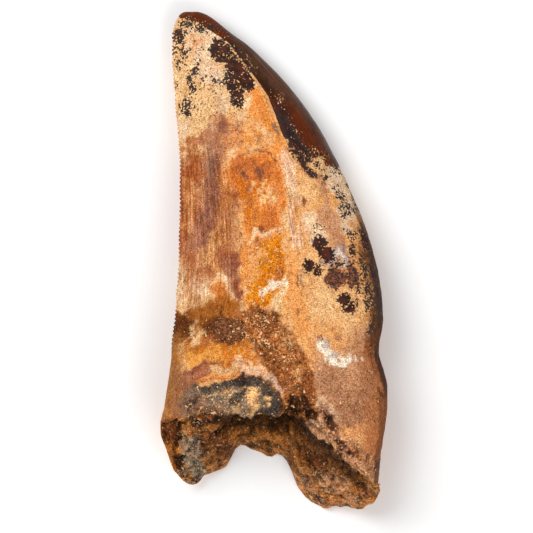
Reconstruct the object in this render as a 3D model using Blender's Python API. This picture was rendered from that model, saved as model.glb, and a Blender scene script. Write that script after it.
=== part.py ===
"""Fossil tooth of a large meat-eating dinosaur, lying on one of its two broad sides.

The crown's tip points along +Y, its serrated rear edge faces -X and its bulging front edge faces +X.
The root end, towards -Y, is broken off: two legs of bone stand on either side of a notch, and the
pulp hollow runs up under the upper wall. The origin is on the ground below the middle of the tooth.
"""

import math

import bmesh
import bpy
import numpy as np
from mathutils import Matrix, Vector, noise

MM = 0.001

# Driving dimensions, in metres
LENGTH = 68.0 * MM
TIP_Y = LENGTH / 2
STUB_LENGTH = 71.0 * MM  # the crown and root before the end is broken off
DENTICLE_PITCH = 0.565 * MM
DENTICLE_WIDTH = 0.44 * MM
DENTICLE_HEIGHT = 0.27 * MM
DENTICLE_THICKNESS = 0.62 * MM
DENTICLE_ROOT = 0.45 * MM  # how far each one is sunk into the edge
SERRATED_FROM = 2.0 * MM  # distance from the tip
SERRATED_TO = 47.0 * MM
HOLLOW_DEPTH = 8.5 * MM
HOLLOW_HALF_WIDTH = 5.8 * MM
HOLLOW_X = -1.0 * MM
HOLLOW_LEVEL = 0.55  # of the thickness, from the lower wall
HOLLOW_HALF_LEVEL = 0.27
BREAK_LUMP = 0.6 * MM
BREAK_LUMP_SIZE = 2.4 * MM
WORN_DEPTH = 1.3 * MM  # how far the upper wall is worn down towards the break
WORN_LENGTH = 4.6 * MM
WORN_FADE = 4.0 * MM  # the width over which it runs out towards the front edge

# How finely the faceted solid is drawn
ROWS = 62
TIP_CROWDING = 1.45
CREST_COLUMNS = 14
TURN_COLUMNS = 12
LOWER_COLUMNS = 16
BREAK_CELL = 1.1 * MM

# The two edges as seen from above: (distance from the tip, x), in millimetres
REAR_EDGE = [
    (0.0, -11.25),
    (0.4, -12.6),
    (1.2, -13.25),
    (3.0, -13.6),
    (6.0, -13.7),
    (12.0, -13.3),
    (22.0, -12.6),
    (31.0, -12.7),
    (40.0, -13.15),
    (47.0, -13.9),
    (54.0, -14.95),
    (57.0, -15.5),
    (60.0, -15.4),
    (71.0, -14.6),
]
FRONT_EDGE = [
    (0.0, -11.25),
    (0.4, -9.5),
    (1.2, -8.2),
    (3.0, -5.9),
    (5.4, -2.8),
    (8.0, -0.1),
    (13.5, 4.45),
    (21.7, 9.2),
    (31.0, 13.1),
    (37.0, 14.5),
    (42.5, 14.95),
    (46.3, 14.4),
    (51.0, 15.46),
    (58.5, 15.05),
    (71.0, 13.9),
]

# Heights over the same distance, in millimetres: the edges over the ground, and the upper and
# lower walls over and under the edges
EDGE_HEIGHT = [(0.0, 2.3), (10.0, 3.2), (25.0, 4.8), (42.0, 6.2), (55.0, 6.9), (71.0, 7.0)]
UPPER_RISE = [
    (0.0, 0.0),
    (0.4, 1.0),
    (1.2, 1.55),
    (3.0, 2.15),
    (10.0, 3.45),
    (20.0, 4.8),
    (33.0, 6.1),
    (45.0, 6.9),
    (56.0, 7.2),
    (71.0, 7.2),
]
LOWER_DROP = [
    (0.0, 0.0),
    (0.4, 0.95),
    (1.2, 1.45),
    (3.0, 1.95),
    (8.0, 2.9),
    (12.0, 3.8),
    (25.0, 5.4),
    (42.0, 6.8),
    (55.0, 7.5),
    (71.0, 7.5),
]

# Where the upper wall is highest, as a share of the width, and how squarely it then turns down
CREST_SHARE = [
    (0.0, 0.55),
    (3.5, 0.7),
    (8.0, 0.755),
    (13.0, 0.76),
    (18.0, 0.725),
    (24.0, 0.7),
    (34.0, 0.63),
    (71.0, 0.6),
]
TURN_SHARPNESS = [(0.0, 1.8), (5.0, 1.4), (15.0, 1.4), (22.0, 1.9), (32.0, 3.2), (71.0, 3.6)]

# The broken root end as seen from above: (x, y), in millimetres, along the upper and lower walls
UPPER_BREAK = [
    (-16.0, -21.9),
    (-15.0, -21.7),
    (-12.0, -20.7),
    (-10.0, -20.3),
    (-7.0, -21.1),
    (-3.0, -21.7),
    (1.6, -21.3),
    (3.6, -20.9),
    (5.7, -22.4),
    (9.7, -26.1),
    (13.4, -28.8),
    (16.0, -29.9),
]
LOWER_BREAK = [
    (-16.0, -21.0),
    (-15.1, -24.5),
    (-14.1, -27.9),
    (-12.7, -29.9),
    (-11.3, -30.9),
    (-9.3, -29.7),
    (-7.3, -28.8),
    (-6.2, -27.8),
    (-5.3, -25.9),
    (-3.2, -26.0),
    (-0.5, -26.8),
    (2.2, -28.3),
    (3.2, -30.6),
    (4.2, -32.2),
    (6.3, -33.9),
    (9.0, -34.0),
    (12.2, -34.1),
    (14.1, -33.2),
    (14.9, -29.6),
    (16.0, -26.0),
]

# The upper end of the worn patch above the break: (x, y), in millimetres
WORN_ARC = [
    (-15.0, -21.5),
    (-12.7, -19.7),
    (-10.0, -17.4),
    (-6.6, -16.0),
    (-3.9, -15.5),
    (-1.6, -16.0),
    (0.6, -17.4),
    (1.6, -20.5),
    (4.0, -24.0),
]

TOOTH_COLOUR = (0.45, 0.21, 0.08, 1.0)
TOOTH_ROUGHNESS = 0.5


def curve(points, at):
    """Reads a smooth curve through the points, given and returned in millimetres."""
    places, values = np.array(points).T
    slopes = np.gradient(values, places)
    i = np.clip(np.searchsorted(places, at) - 1, 0, len(places) - 2)
    span = places[i + 1] - places[i]
    t = np.clip((at - places[i]) / span, 0.0, 1.0)
    start = values[i] * (1 + 2 * t) * (1 - t) ** 2 + slopes[i] * span * t * (1 - t) ** 2
    end = values[i + 1] * (3 - 2 * t) * t**2 - slopes[i + 1] * span * t**2 * (1 - t)
    return start + end


def along(points, distance):
    """Reads a curve over the distance from the tip, in metres, so that it rounds off at the tip."""
    rooted = [(math.sqrt(place), value) for place, value in points]
    return MM * curve(rooted, np.sqrt(np.maximum(distance, 0.0) / MM))


def share_along(points, distance):
    """Reads a plain number that changes along the tooth."""
    return curve(points, distance / MM)


def upper_profile(share, distance):
    """How far the upper wall has risen, from 0 at the edges to 1 at the crest, over the width."""
    crest = share_along(CREST_SHARE, distance)
    sharpness = share_along(TURN_SHARPNESS, distance)
    rear = 1 - np.clip(1 - share / crest, 0.0, 1.0) ** 2.3
    front = np.clip(1 - np.clip((share - crest) / (1 - crest), 0.0, 1.0) ** sharpness, 0.0, 1.0) ** 0.62
    return np.where(share < crest, rear**0.93, front)


def lower_profile(share):
    """The same for the wall that the tooth lies on."""
    return np.clip(1 - np.abs(2 * share - 1) ** 2.4, 0.0, 1.0) ** 0.75


def worn_away(x, y):
    """How much the upper wall has lost above the break, below an arched line."""
    below = (MM * curve(WORN_ARC, x / MM) - y) / WORN_LENGTH
    below = np.clip(below, 0.0, 1.0)
    inside = np.clip((MM * WORN_ARC[-1][0] - x) / WORN_FADE, 0.0, 1.0)
    return WORN_DEPTH * inside * below**1.5


def wall_point(share, distance, upper):
    """A point of the upper or lower wall, at a share of the width and a distance from the tip."""
    rear_x = along(REAR_EDGE, distance)
    front_x = along(FRONT_EDGE, distance)
    edge_z = along(EDGE_HEIGHT, distance)
    x = rear_x + share * (front_x - rear_x)
    y = TIP_Y - distance
    if upper:
        profile = upper_profile(share, distance)
        z = edge_z + along(UPPER_RISE, distance) * profile - worn_away(x, y) * profile
    else:
        z = np.maximum(edge_z - along(LOWER_DROP, distance) * lower_profile(share), 0.0)
    return x, y, z


def upper_shares(distance):
    """Shares of the width from edge to edge, with one on the crest and more near the front edge."""
    crest = float(share_along(CREST_SHARE, distance))
    rear = [crest * (k / CREST_COLUMNS) ** 1.1 for k in range(CREST_COLUMNS)]
    turn = [1 - (1 - crest) * (1 - k / TURN_COLUMNS) ** 1.5 for k in range(TURN_COLUMNS + 1)]
    return rear + turn


def lower_shares():
    """Shares of the width from edge to edge for the lower wall, more of them near the edges."""
    return [0.5 - 0.5 * math.cos(math.pi * k / LOWER_COLUMNS) for k in range(LOWER_COLUMNS + 1)]


def ring_points(distance):
    """One ring of the tooth: over the upper wall and back under the lower one."""
    upper = [wall_point(share, distance, True) for share in upper_shares(distance)]
    lower = [wall_point(share, distance, False) for share in reversed(lower_shares()[1:-1])]
    return upper + lower


def material(name, colour, roughness):
    """A plain Principled material."""
    made = bpy.data.materials.new(name)
    made.use_nodes = True
    shader = made.node_tree.nodes["Principled BSDF"]
    shader.inputs["Base Color"].default_value = colour
    shader.inputs["Roughness"].default_value = roughness
    shader.inputs["Metallic"].default_value = 0.0
    made.diffuse_color = colour
    return made


def add_object(name, mesh_maker, collection):
    """Turns a finished bmesh into an object of the collection."""
    bmesh.ops.recalc_face_normals(mesh_maker, faces=mesh_maker.faces)
    mesh = bpy.data.meshes.new(name)
    mesh_maker.to_mesh(mesh)
    mesh_maker.free()
    made = bpy.data.objects.new(name, mesh)
    collection.objects.link(made)
    return made


def crown(collection):
    """The whole tooth before its end is broken: rings lofted from the tip to the stub's end."""
    maker = bmesh.new()
    distances = [STUB_LENGTH * (row / ROWS) ** TIP_CROWDING for row in range(1, ROWS + 1)]
    rings = [[maker.verts.new(point) for point in ring_points(distance)] for distance in distances]
    tip = maker.verts.new(wall_point(0.5, 0.0, True))
    count = len(rings[0])
    for k in range(count):
        maker.faces.new((tip, rings[0][k], rings[0][(k + 1) % count]))
    for ring, lower_ring in zip(rings, rings[1:]):
        for k in range(count):
            after = (k + 1) % count
            maker.faces.new((ring[k], ring[after], lower_ring[after], lower_ring[k]))
    maker.faces.new(rings[-1])
    return add_object("tooth", maker, collection)


def section_level(x, z):
    """Where a point lies in the root's thickness: 0 at the lower wall and 1 at the upper one."""
    distance = np.array(-UPPER_BREAK[5][1] * MM + TIP_Y)
    rear_x = along(REAR_EDGE, distance)
    front_x = along(FRONT_EDGE, distance)
    share = np.clip((x - rear_x) / (front_x - rear_x), 0.0, 1.0)
    top = wall_point(share, distance, True)[2]
    bottom = wall_point(share, distance, False)[2]
    soft = 0.3 * MM
    return float(np.clip((z - bottom + soft) / (top - bottom + 2 * soft), 0.0, 1.0))


def break_y(x, z):
    """How far down the broken face lies at a place of the section, in metres."""
    level = section_level(x, z)
    upper = MM * float(curve(UPPER_BREAK, x / MM))
    lower = MM * float(curve(LOWER_BREAK, x / MM))
    across = math.exp(-(((x - HOLLOW_X) / HOLLOW_HALF_WIDTH) ** 2))
    depth = math.exp(-(((level - HOLLOW_LEVEL) / HOLLOW_HALF_LEVEL) ** 2))
    lumps = noise.fractal(Vector((x, 0.0, z)) / BREAK_LUMP_SIZE, 0.8, 2.2, 3)
    return lower + (upper - lower) * level**1.2 + HOLLOW_DEPTH * across * depth + BREAK_LUMP * lumps


def break_cutter(collection):
    """A block below the broken face, which takes the missing end off."""
    maker = bmesh.new()
    half_width, low, high, far_y = 17 * MM, -2 * MM, 17 * MM, -60 * MM
    columns = round(2 * half_width / BREAK_CELL)
    rows = round((high - low) / BREAK_CELL)
    bmesh.ops.create_grid(maker, x_segments=columns, y_segments=rows, size=0.5)
    for vert in maker.verts:
        x = 2 * half_width * vert.co.x
        z = low + (high - low) * (vert.co.y + 0.5)
        vert.co = (x, break_y(x, z), z)
    block = bmesh.ops.extrude_face_region(maker, geom=maker.faces[:])
    for vert in block["geom"]:
        if isinstance(vert, bmesh.types.BMVert):
            vert.co.y = far_y
    return add_object("root_break", maker, collection)


def denticles(collection):
    """The saw teeth of the rear edge: one tapered peg for each pitch, square to the edge."""
    maker = bmesh.new()
    distance = SERRATED_FROM
    while distance < SERRATED_TO:
        place = Vector(wall_point(0.0, distance, True))
        ahead = Vector(wall_point(0.0, distance + DENTICLE_PITCH, True))
        run = (ahead - place).normalized()
        outward = Vector((-1.0, 0.0, 0.0))
        outward = (outward - run * outward.dot(run)).normalized()
        side = run.cross(outward)
        axes = Matrix((run, outward, side)).transposed().to_4x4()
        peg = bmesh.ops.create_cube(maker, size=1.0)["verts"]
        for vert in peg:
            outer = vert.co.y > 0
            taper = 0.45 if outer else 1.0
            vert.co.x *= DENTICLE_WIDTH * (0.6 if outer else 1.0)
            vert.co.y = DENTICLE_HEIGHT if outer else -DENTICLE_ROOT
            vert.co.z *= DENTICLE_THICKNESS * taper
        bmesh.ops.transform(maker, matrix=Matrix.Translation(place) @ axes, verts=peg)
        distance += DENTICLE_PITCH
    return add_object("denticles", maker, collection)


def boolean(target, operation, cutter):
    """Joins a cutter to the target, or takes it away, with an exact Boolean modifier."""
    change = target.modifiers.new(cutter.name, "BOOLEAN")
    change.operation = operation
    change.solver = "EXACT"
    change.object = cutter
    cutter.hide_render = True
    cutter.display_type = "WIRE"


def main():
    for old in list(bpy.data.objects):
        bpy.data.objects.remove(old, do_unlink=True)
    parts = bpy.data.collections.new("fossil_tooth")
    cutters = bpy.data.collections.new("cutters")
    for collection in (parts, cutters):
        bpy.context.scene.collection.children.link(collection)

    tooth = crown(parts)
    boolean(tooth, "UNION", denticles(cutters))
    boolean(tooth, "DIFFERENCE", break_cutter(cutters))
    tooth.data.materials.append(material("fossil", TOOTH_COLOUR, TOOTH_ROUGHNESS))
    tooth.data.shade_smooth()
    tooth.data.set_sharp_from_angle(angle=math.radians(40))


main()
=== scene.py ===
"""The looks of the fossil dinosaur tooth: one fine mesh with its relief, stains, gloss and light.

Shapes and places are in millimetres, with x to the right, y towards the tip and z up, and become
metres where an object is made. The tooth lies on one broad side and the camera looks down on it.
A stain is painted over the ones before it, so the order of the calls matters. Each call names its
colour, its strength, how ragged and how soft its border is, and then its shapes.
"""

import math
from types import SimpleNamespace

import bpy
import numpy as np
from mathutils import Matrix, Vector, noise


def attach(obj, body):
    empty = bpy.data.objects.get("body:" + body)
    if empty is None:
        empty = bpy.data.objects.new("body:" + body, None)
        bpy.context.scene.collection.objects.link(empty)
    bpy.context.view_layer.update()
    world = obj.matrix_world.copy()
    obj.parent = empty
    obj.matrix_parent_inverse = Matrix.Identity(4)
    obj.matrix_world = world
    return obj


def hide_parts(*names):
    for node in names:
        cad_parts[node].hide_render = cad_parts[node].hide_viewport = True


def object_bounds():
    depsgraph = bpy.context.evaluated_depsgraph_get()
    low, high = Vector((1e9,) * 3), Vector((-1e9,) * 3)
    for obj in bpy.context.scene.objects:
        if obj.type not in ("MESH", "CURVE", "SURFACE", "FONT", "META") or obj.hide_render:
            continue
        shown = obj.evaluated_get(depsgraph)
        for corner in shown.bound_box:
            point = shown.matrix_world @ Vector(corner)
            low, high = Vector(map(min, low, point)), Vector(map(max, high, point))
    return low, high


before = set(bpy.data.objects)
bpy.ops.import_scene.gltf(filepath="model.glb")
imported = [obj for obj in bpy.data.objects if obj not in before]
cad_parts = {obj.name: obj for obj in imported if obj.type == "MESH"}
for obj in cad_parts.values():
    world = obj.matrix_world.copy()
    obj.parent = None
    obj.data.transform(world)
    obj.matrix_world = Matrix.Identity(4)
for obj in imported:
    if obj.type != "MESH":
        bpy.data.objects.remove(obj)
CAD_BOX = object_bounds()
MM = 0.001

# The form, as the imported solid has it
TIP_Y = 34.0
NOMINAL_LENGTH = 68.0
DENTICLE_PITCH = 0.565
SERRATED_FROM, SERRATED_TO = 1.0, 47.0
HOLLOW_DEPTH, HOLLOW_HALF_WIDTH, HOLLOW_X = 8.5, 5.8, -1.0
HOLLOW_LEVEL, HOLLOW_HALF_LEVEL = 0.55, 0.27
BREAK_LUMP, BREAK_LUMP_SIZE = 0.6, 2.4
WORN_DEPTH, WORN_LENGTH, WORN_FADE = 1.3, 4.6, 4.0
WORN_CURVE, BREAK_CURVE = 1.5, 1.2
REAR_TURN, REAR_EASE, FRONT_EASE = 2.3, 0.93, 0.62
LOWER_TURN, LOWER_EASE = 2.4, 0.75
LAST_DISTANCE = 71.0

REAR_EDGE = [
    (0.0, -11.25), (0.4, -12.6), (1.2, -13.25), (3.0, -13.6), (6.0, -13.7), (12.0, -13.3), (22.0, -12.6),
    (31.0, -12.7), (40.0, -13.15), (47.0, -13.9), (54.0, -14.95), (57.0, -15.5), (60.0, -15.4),
    (71.0, -14.6),
]
FRONT_EDGE = [
    (0.0, -11.25), (0.4, -9.5), (1.2, -8.2), (3.0, -5.9), (5.4, -2.8), (8.0, -0.1), (13.5, 4.45),
    (21.7, 9.2), (31.0, 13.1), (37.0, 14.5), (42.5, 14.95), (46.3, 14.4), (51.0, 15.46), (58.5, 15.05),
    (71.0, 13.9),
]
EDGE_HEIGHT = [(0.0, 2.3), (10.0, 3.2), (25.0, 4.8), (42.0, 6.2), (55.0, 6.9), (71.0, 7.0)]
UPPER_RISE = [
    (0.0, 0.0), (0.4, 1.0), (1.2, 1.55), (3.0, 2.15), (10.0, 3.45), (20.0, 4.8), (33.0, 6.1), (45.0, 6.9),
    (56.0, 7.2), (71.0, 7.2),
]
LOWER_DROP = [
    (0.0, 0.0), (0.4, 0.95), (1.2, 1.45), (3.0, 1.95), (8.0, 2.9), (12.0, 3.8), (25.0, 5.4), (42.0, 6.8),
    (55.0, 7.5), (71.0, 7.5),
]
CREST_SHARE = [
    (0.0, 0.55), (3.5, 0.7), (8.0, 0.755), (13.0, 0.76), (18.0, 0.725), (24.0, 0.7), (34.0, 0.63),
    (71.0, 0.6),
]
TURN_SHARPNESS = [(0.0, 1.8), (5.0, 1.4), (15.0, 1.4), (22.0, 1.9), (32.0, 3.2), (71.0, 3.6)]
UPPER_BREAK = [
    (-16.0, -21.9), (-15.0, -21.7), (-12.0, -20.7), (-10.0, -20.3), (-7.0, -21.1), (-3.0, -21.7),
    (1.6, -21.3), (3.6, -20.9), (5.7, -22.4), (9.7, -26.1), (13.4, -28.8), (16.0, -29.9),
]
LOWER_BREAK = [
    (-16.0, -21.0), (-15.1, -24.5), (-14.1, -27.9), (-12.7, -29.9), (-11.3, -30.9), (-9.3, -29.7),
    (-7.3, -28.8), (-6.2, -27.8), (-5.3, -25.9), (-3.2, -26.0), (-0.5, -26.8), (2.2, -28.3), (3.2, -30.6),
    (4.2, -32.2), (6.3, -33.9), (9.0, -34.0), (12.2, -34.1), (14.1, -33.2), (14.9, -29.6), (16.0, -26.0),
]
WORN_ARC = [
    (-15.0, -21.5), (-12.7, -19.7), (-10.0, -17.4), (-6.6, -16.0), (-3.9, -15.5), (-1.6, -16.0),
    (0.6, -17.4), (1.6, -20.5), (4.0, -24.0),
]

# The line where the dark enamel of the front edge begins: (x, y)
ENAMEL_LINE = [
    (-8.3, 31.2), (-6.2, 29.8), (-3.6, 26.5), (-2.4, 24.8), (-0.75, 22.4), (0.3, 19.8), (1.1, 17.4),
    (2.4, 15.0), (4.3, 12.9), (6.1, 11.0),
]

# How finely the mesh is drawn
FINE_ROWS = 600
ROW_CROWDING = 1.12
UPPER_COLUMNS = 172
LOWER_COLUMNS = 66
EDGE_COLUMNS = 5
COLUMN_CROWDING = 1.3
STRETCH_FROM = 44.0
BREAK_ROWS = 64

# The width that the growth lines are counted over, and the relief's heights and sizes
GROWTH_SPAN = 30.0
DENTICLE_HEIGHT, DENTICLE_SINK = 0.26, 0.05
GROWTH_LINE_HEIGHT = 0.05
DENT_HEIGHT, DENT_SIZE = 0.10, 4.0
ROUGHNESS_HEIGHT, ROUGHNESS_SIZE = 0.04, 0.8
GRAIN_HEIGHT, GRAIN_SIZE = 0.20, 0.7
LUMP_HEIGHT, LUMP_SIZE = 0.45, 1.5
ENAMEL_HEIGHT = 0.13
ENAMEL_END_Y = 12.7
FRONT_THINNING = 0.25
BUMP_STRENGTH, BUMP_DEPTH = 0.9, 0.14

# The gloss of dentine and enamel
IOR, SPECULAR = 1.3, 0.12

# Light, in metres and watts, and camera, in millimetres
FLOOR_SIZE, FLOOR_Z, FLOOR_WHITE = 3.0, -0.0001, 0.97
SKY_STRENGTH = 0.46
LAMP_SIZE = 0.50
LAMPS = {"key": ((-0.34, 0.30, 0.56), 3.7), "fill": ((0.30, -0.42, 0.42), 1.9)}
FRAME_WIDTH, FRAME_X, FRAME_Y = 72.6, -0.95, -0.82
CAMERA_HEIGHT, TARGET_HEIGHT = 1500.0, 8.0
SENSOR_WIDTH = 36.0

PALETTE = {
    "rose_tan": (0.86, 0.66, 0.51),
    "gold": (0.86, 0.57, 0.22),
    "leg_grey": (0.52, 0.46, 0.38),
    "terracotta": (0.84, 0.56, 0.35),
    "grey_tan": (0.47, 0.40, 0.33),
    "lilac_grey": (0.66, 0.56, 0.52),
    "pink_streak": (0.93, 0.76, 0.62),
    # A grey-blue for painted glints on the broken end.
    "glint_grey_blue": (0.62, 0.60, 0.56),
    "pink_cream": (0.88, 0.74, 0.60),
    "cream": (0.96, 0.82, 0.63),
    "cream_orange": (0.95, 0.73, 0.48),
    "sand": (0.90, 0.72, 0.51),
    "tan": (0.88, 0.69, 0.48),
    "orange_tan": (0.88, 0.62, 0.37),
    "orange": (0.89, 0.54, 0.23),
    "deep_orange": (0.80, 0.41, 0.16),
    "amber": (0.84, 0.49, 0.0),
    "yellow_orange": (0.76, 0.39, 0.04),
    "amber_brown": (0.66, 0.38, 0.13),
    "rust": (0.67, 0.38, 0.20),
    "red_rust": (0.61, 0.30, 0.14),
    "mauve": (0.67, 0.43, 0.31),
    "red_mauve": (0.52, 0.28, 0.20),
    "dark_mauve": (0.46, 0.27, 0.21),
    "plum": (0.47, 0.26, 0.18),
    "pink_brown": (0.78, 0.56, 0.40),
    "brown_shade": (0.58, 0.38, 0.26),
    "olive": (0.58, 0.33, 0.11),
    "olive_brown": (0.58, 0.38, 0.20),
    "bone_brown": (0.66, 0.41, 0.18),
    "umber": (0.37, 0.19, 0.06),
    "matrix": (0.66, 0.39, 0.19),
    "grey": (0.48, 0.39, 0.31),
    "grey_black": (0.22, 0.185, 0.17),
    "black": (0.13, 0.075, 0.08),
    "red_black": (0.31, 0.13, 0.10),
    "purple_black": (0.25, 0.14, 0.14),
    "enamel_red": (0.40, 0.15, 0.0),
    "enamel_dark": (0.21, 0.11, 0.05),
    "knob_red": (0.36, 0.16, 0.05),
    # A dark brown for the front edge: stain and painted shade where the side turns away.
    "edge_stain_and_shade": (0.19, 0.09, 0.025),
    # A painted sheen: the reflection along the enamel's front edge.
    "sheen": (0.34, 0.21, 0.12),
    "chalk": (0.95, 0.88, 0.78),
    # Near black for hollows, pits, slots and the overhang under the front wall: painted shadow.
    "recess_shadow": (0.10, 0.05, 0.02),
}


def curve(points, at):
    """Reads a smooth curve through the points."""
    places, values = np.array(points).T
    slopes = np.gradient(values, places)
    i = np.clip(np.searchsorted(places, at) - 1, 0, len(places) - 2)
    span = places[i + 1] - places[i]
    t = np.clip((at - places[i]) / span, 0.0, 1.0)
    start = values[i] * (1 + 2 * t) * (1 - t) ** 2 + slopes[i] * span * t * (1 - t) ** 2
    end = values[i + 1] * (3 - 2 * t) * t**2 - slopes[i + 1] * span * t**2 * (1 - t)
    return start + end


def along(points, distance):
    """Reads a curve over the distance from the tip so that it rounds off at the tip."""
    rooted = [(math.sqrt(place), value) for place, value in points]
    return curve(rooted, np.sqrt(np.maximum(distance, 0.0)))


def ramp(low, high, value):
    """0 below low and 1 above high, with a soft rise between them."""
    t = np.clip((value - low) / (high - low), 0.0, 1.0)
    return t * t * (3 - 2 * t)


def fuzz(points, size, seed, octaves=2):
    """Smooth random numbers, mostly from -1 to 1, that change over the given size."""
    moved = (np.asarray(points) / size + seed * 7.31).tolist()
    return np.array([noise.fractal(p, 1.0, 2.1, octaves) for p in moved])


# The form


def upper_profile(share, distance):
    """How far the upper wall has risen, from 0 at the edges to 1 at the crest, over the width."""
    crest = curve(CREST_SHARE, distance)
    sharpness = curve(TURN_SHARPNESS, distance)
    rear = 1 - np.clip(1 - share / crest, 0.0, 1.0) ** REAR_TURN
    beyond = np.clip((share - crest) / (1 - crest), 0.0, 1.0)
    front = np.clip(1 - beyond**sharpness, 0.0, 1.0)
    return np.where(share < crest, rear**REAR_EASE, front**FRONT_EASE)


def lower_profile(share):
    """The same for the wall that the tooth lies on."""
    return np.clip(1 - np.abs(2 * share - 1) ** LOWER_TURN, 0.0, 1.0) ** LOWER_EASE


def worn_away(x, y):
    """How much the upper wall has lost above the break, below an arched line."""
    below = np.clip((curve(WORN_ARC, x) - y) / WORN_LENGTH, 0.0, 1.0)
    inside = np.clip((WORN_ARC[-1][0] - x) / WORN_FADE, 0.0, 1.0)
    return WORN_DEPTH * inside * below**WORN_CURVE


def wall_points(share, distance, upper):
    """Points of the upper or lower wall, at shares of the width and distances from the tip."""
    rear_x = along(REAR_EDGE, distance)
    front_x = along(FRONT_EDGE, distance)
    edge_z = along(EDGE_HEIGHT, distance)
    x = rear_x + share * (front_x - rear_x)
    y = TIP_Y - distance
    if upper:
        profile = upper_profile(share, distance)
        z = edge_z + along(UPPER_RISE, distance) * profile - worn_away(x, y) * profile
    else:
        z = np.maximum(edge_z - along(LOWER_DROP, distance) * lower_profile(share), 0.0)
    return np.stack(np.broadcast_arrays(x, y, z), axis=-1)


def section_level(x, z):
    """Where a point lies in the root's thickness: 0 at the lower wall and 1 at the upper one."""
    distance = TIP_Y - UPPER_BREAK[5][1]
    rear_x = along(REAR_EDGE, distance)
    front_x = along(FRONT_EDGE, distance)
    share = np.clip((x - rear_x) / (front_x - rear_x), 0.0, 1.0)
    top = wall_points(share, distance, True)[..., 2]
    bottom = wall_points(share, distance, False)[..., 2]
    soft = 0.3
    return np.clip((z - bottom + soft) / (top - bottom + 2 * soft), 0.0, 1.0)


def break_y(x, z):
    """How far down the broken face lies at places of the section."""
    level = section_level(x, z)
    upper = curve(UPPER_BREAK, x)
    lower = curve(LOWER_BREAK, x)
    across = np.exp(-(((x - HOLLOW_X) / HOLLOW_HALF_WIDTH) ** 2))
    depth = np.exp(-(((level - HOLLOW_LEVEL) / HOLLOW_HALF_LEVEL) ** 2))
    places = np.stack([x, 0 * x, z], axis=-1).reshape(-1, 3)
    lumps = fuzz(places, BREAK_LUMP_SIZE, 0.0, 3).reshape(x.shape)
    slope = lower + (upper - lower) * level**BREAK_CURVE
    return slope + HOLLOW_DEPTH * across * depth + BREAK_LUMP * lumps


def column_plan():
    """(share of the width, upper or not, row step) of every column, once round the tooth."""
    plan = []
    for k in range(UPPER_COLUMNS + 1):
        share = 1 - (1 - k / UPPER_COLUMNS) ** COLUMN_CROWDING
        plan.append((share, True, 1 if k <= EDGE_COLUMNS else 2))
    for k in range(1, LOWER_COLUMNS):
        share = 0.5 + 0.5 * math.cos(math.pi * k / LOWER_COLUMNS)
        plan.append((share, False, 1 if k >= LOWER_COLUMNS - EDGE_COLUMNS else 4))
    return plan


def column_end(share, upper):
    """The distance from the tip at which a column meets the broken face."""
    near, far = STRETCH_FROM, LAST_DISTANCE
    for _ in range(24):
        middle = (near + far) / 2
        point = wall_points(np.array([share]), np.array([middle]), upper)[0]
        above = point[1] > break_y(point[:1], point[2:])[0]
        near, far = (middle, far) if above else (near, middle)
    return near


def strip(first, second, first_places, second_places):
    """Faces between two chains of points, whose places along the strip may differ in number."""
    faces = []
    i = j = 0
    while i < len(first) - 1 or j < len(second) - 1:
        next_first = first_places[i + 1] if i < len(first) - 1 else math.inf
        next_second = second_places[j + 1] if j < len(second) - 1 else math.inf
        corners = [first[i], second[j]]
        if next_second <= next_first:
            j += 1
            corners.append(second[j])
        if next_first <= next_second:
            i += 1
            corners.append(first[i])
        kept = [c for n, c in enumerate(corners) if c != corners[n - 1]]
        if len(kept) > 2:
            faces.append(kept)
    return faces


class Tooth:
    """The points of the fine mesh and what is known of each: its wall, share and distance."""

    def __init__(self):
        self.points = []
        self.facts = []
        self.faces = []
        self.count = 0

    def add(self, points, share, distance, side):
        """Adds points and returns their numbers. The side is 1 above, -1 below, 0 on the break."""
        numbers = np.arange(self.count, self.count + len(points))
        self.count += len(points)
        self.points.append(points)
        self.facts.append(np.stack(np.broadcast_arrays(share, distance, side * 1.0), axis=-1))
        return numbers.tolist()

    def walls(self):
        """Adds the columns and the faces between them. Returns the rims of both walls."""
        tip = wall_points(np.array([0.5]), np.array([0.0]), True)
        tip_number = self.add(tip, 0.5, np.zeros(1), 1)
        plan = column_plan()
        columns, places = [], []
        for share, upper, step in plan:
            rows = np.arange(step, FINE_ROWS + 1, step) / FINE_ROWS
            distance = NOMINAL_LENGTH * rows**ROW_CROWDING
            late = np.maximum(distance - STRETCH_FROM, 0.0) / (NOMINAL_LENGTH - STRETCH_FROM)
            end = column_end(share, upper)
            distance = np.minimum(distance, STRETCH_FROM) + late * (end - STRETCH_FROM)
            points = wall_points(np.full(len(rows), share), distance, upper)
            numbers = self.add(points, share, distance, 1 if upper else -1)
            columns.append(tip_number + numbers)
            places.append([0.0] + rows.tolist())
        for k in range(len(columns)):
            after = (k + 1) % len(columns)
            self.faces += strip(columns[after], columns[k], places[after], places[k])
        rim = [column[-1] for column in columns]
        upper_rim = rim[: UPPER_COLUMNS + 1]
        lower_rim = [rim[0]] + rim[:UPPER_COLUMNS:-1] + [rim[UPPER_COLUMNS]]
        return upper_rim, lower_rim

    def break_face(self, upper_rim, lower_rim):
        """Adds the broken face: rows that run from the upper rim to the lower one."""
        everything = np.concatenate(self.points)
        top = everything[upper_rim]
        bottom = everything[lower_rim]
        under = [np.interp(top[:, 0], bottom[:, 0], bottom[:, axis]) for axis in range(3)]
        under = np.stack(under, axis=-1)
        row = upper_rim
        for k in range(1, BREAK_ROWS):
            t = k / BREAK_ROWS
            spread = top[1:-1] + t * (under[1:-1] - top[1:-1])
            spread[:, 1] = break_y(spread[:, 0], spread[:, 2])
            share = np.linspace(0, 1, len(top))[1:-1]
            inner = self.add(spread, share, 1 - t, 0)
            following = [upper_rim[0]] + inner + [upper_rim[-1]]
            self.faces += strip(row, following, range(len(row)), range(len(row)))
            row = following
        self.faces += strip(row, lower_rim, top[:, 0].tolist(), bottom[:, 0].tolist())

    def finish(self):
        self.points = np.concatenate(self.points)
        self.facts = np.concatenate(self.facts)


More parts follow.
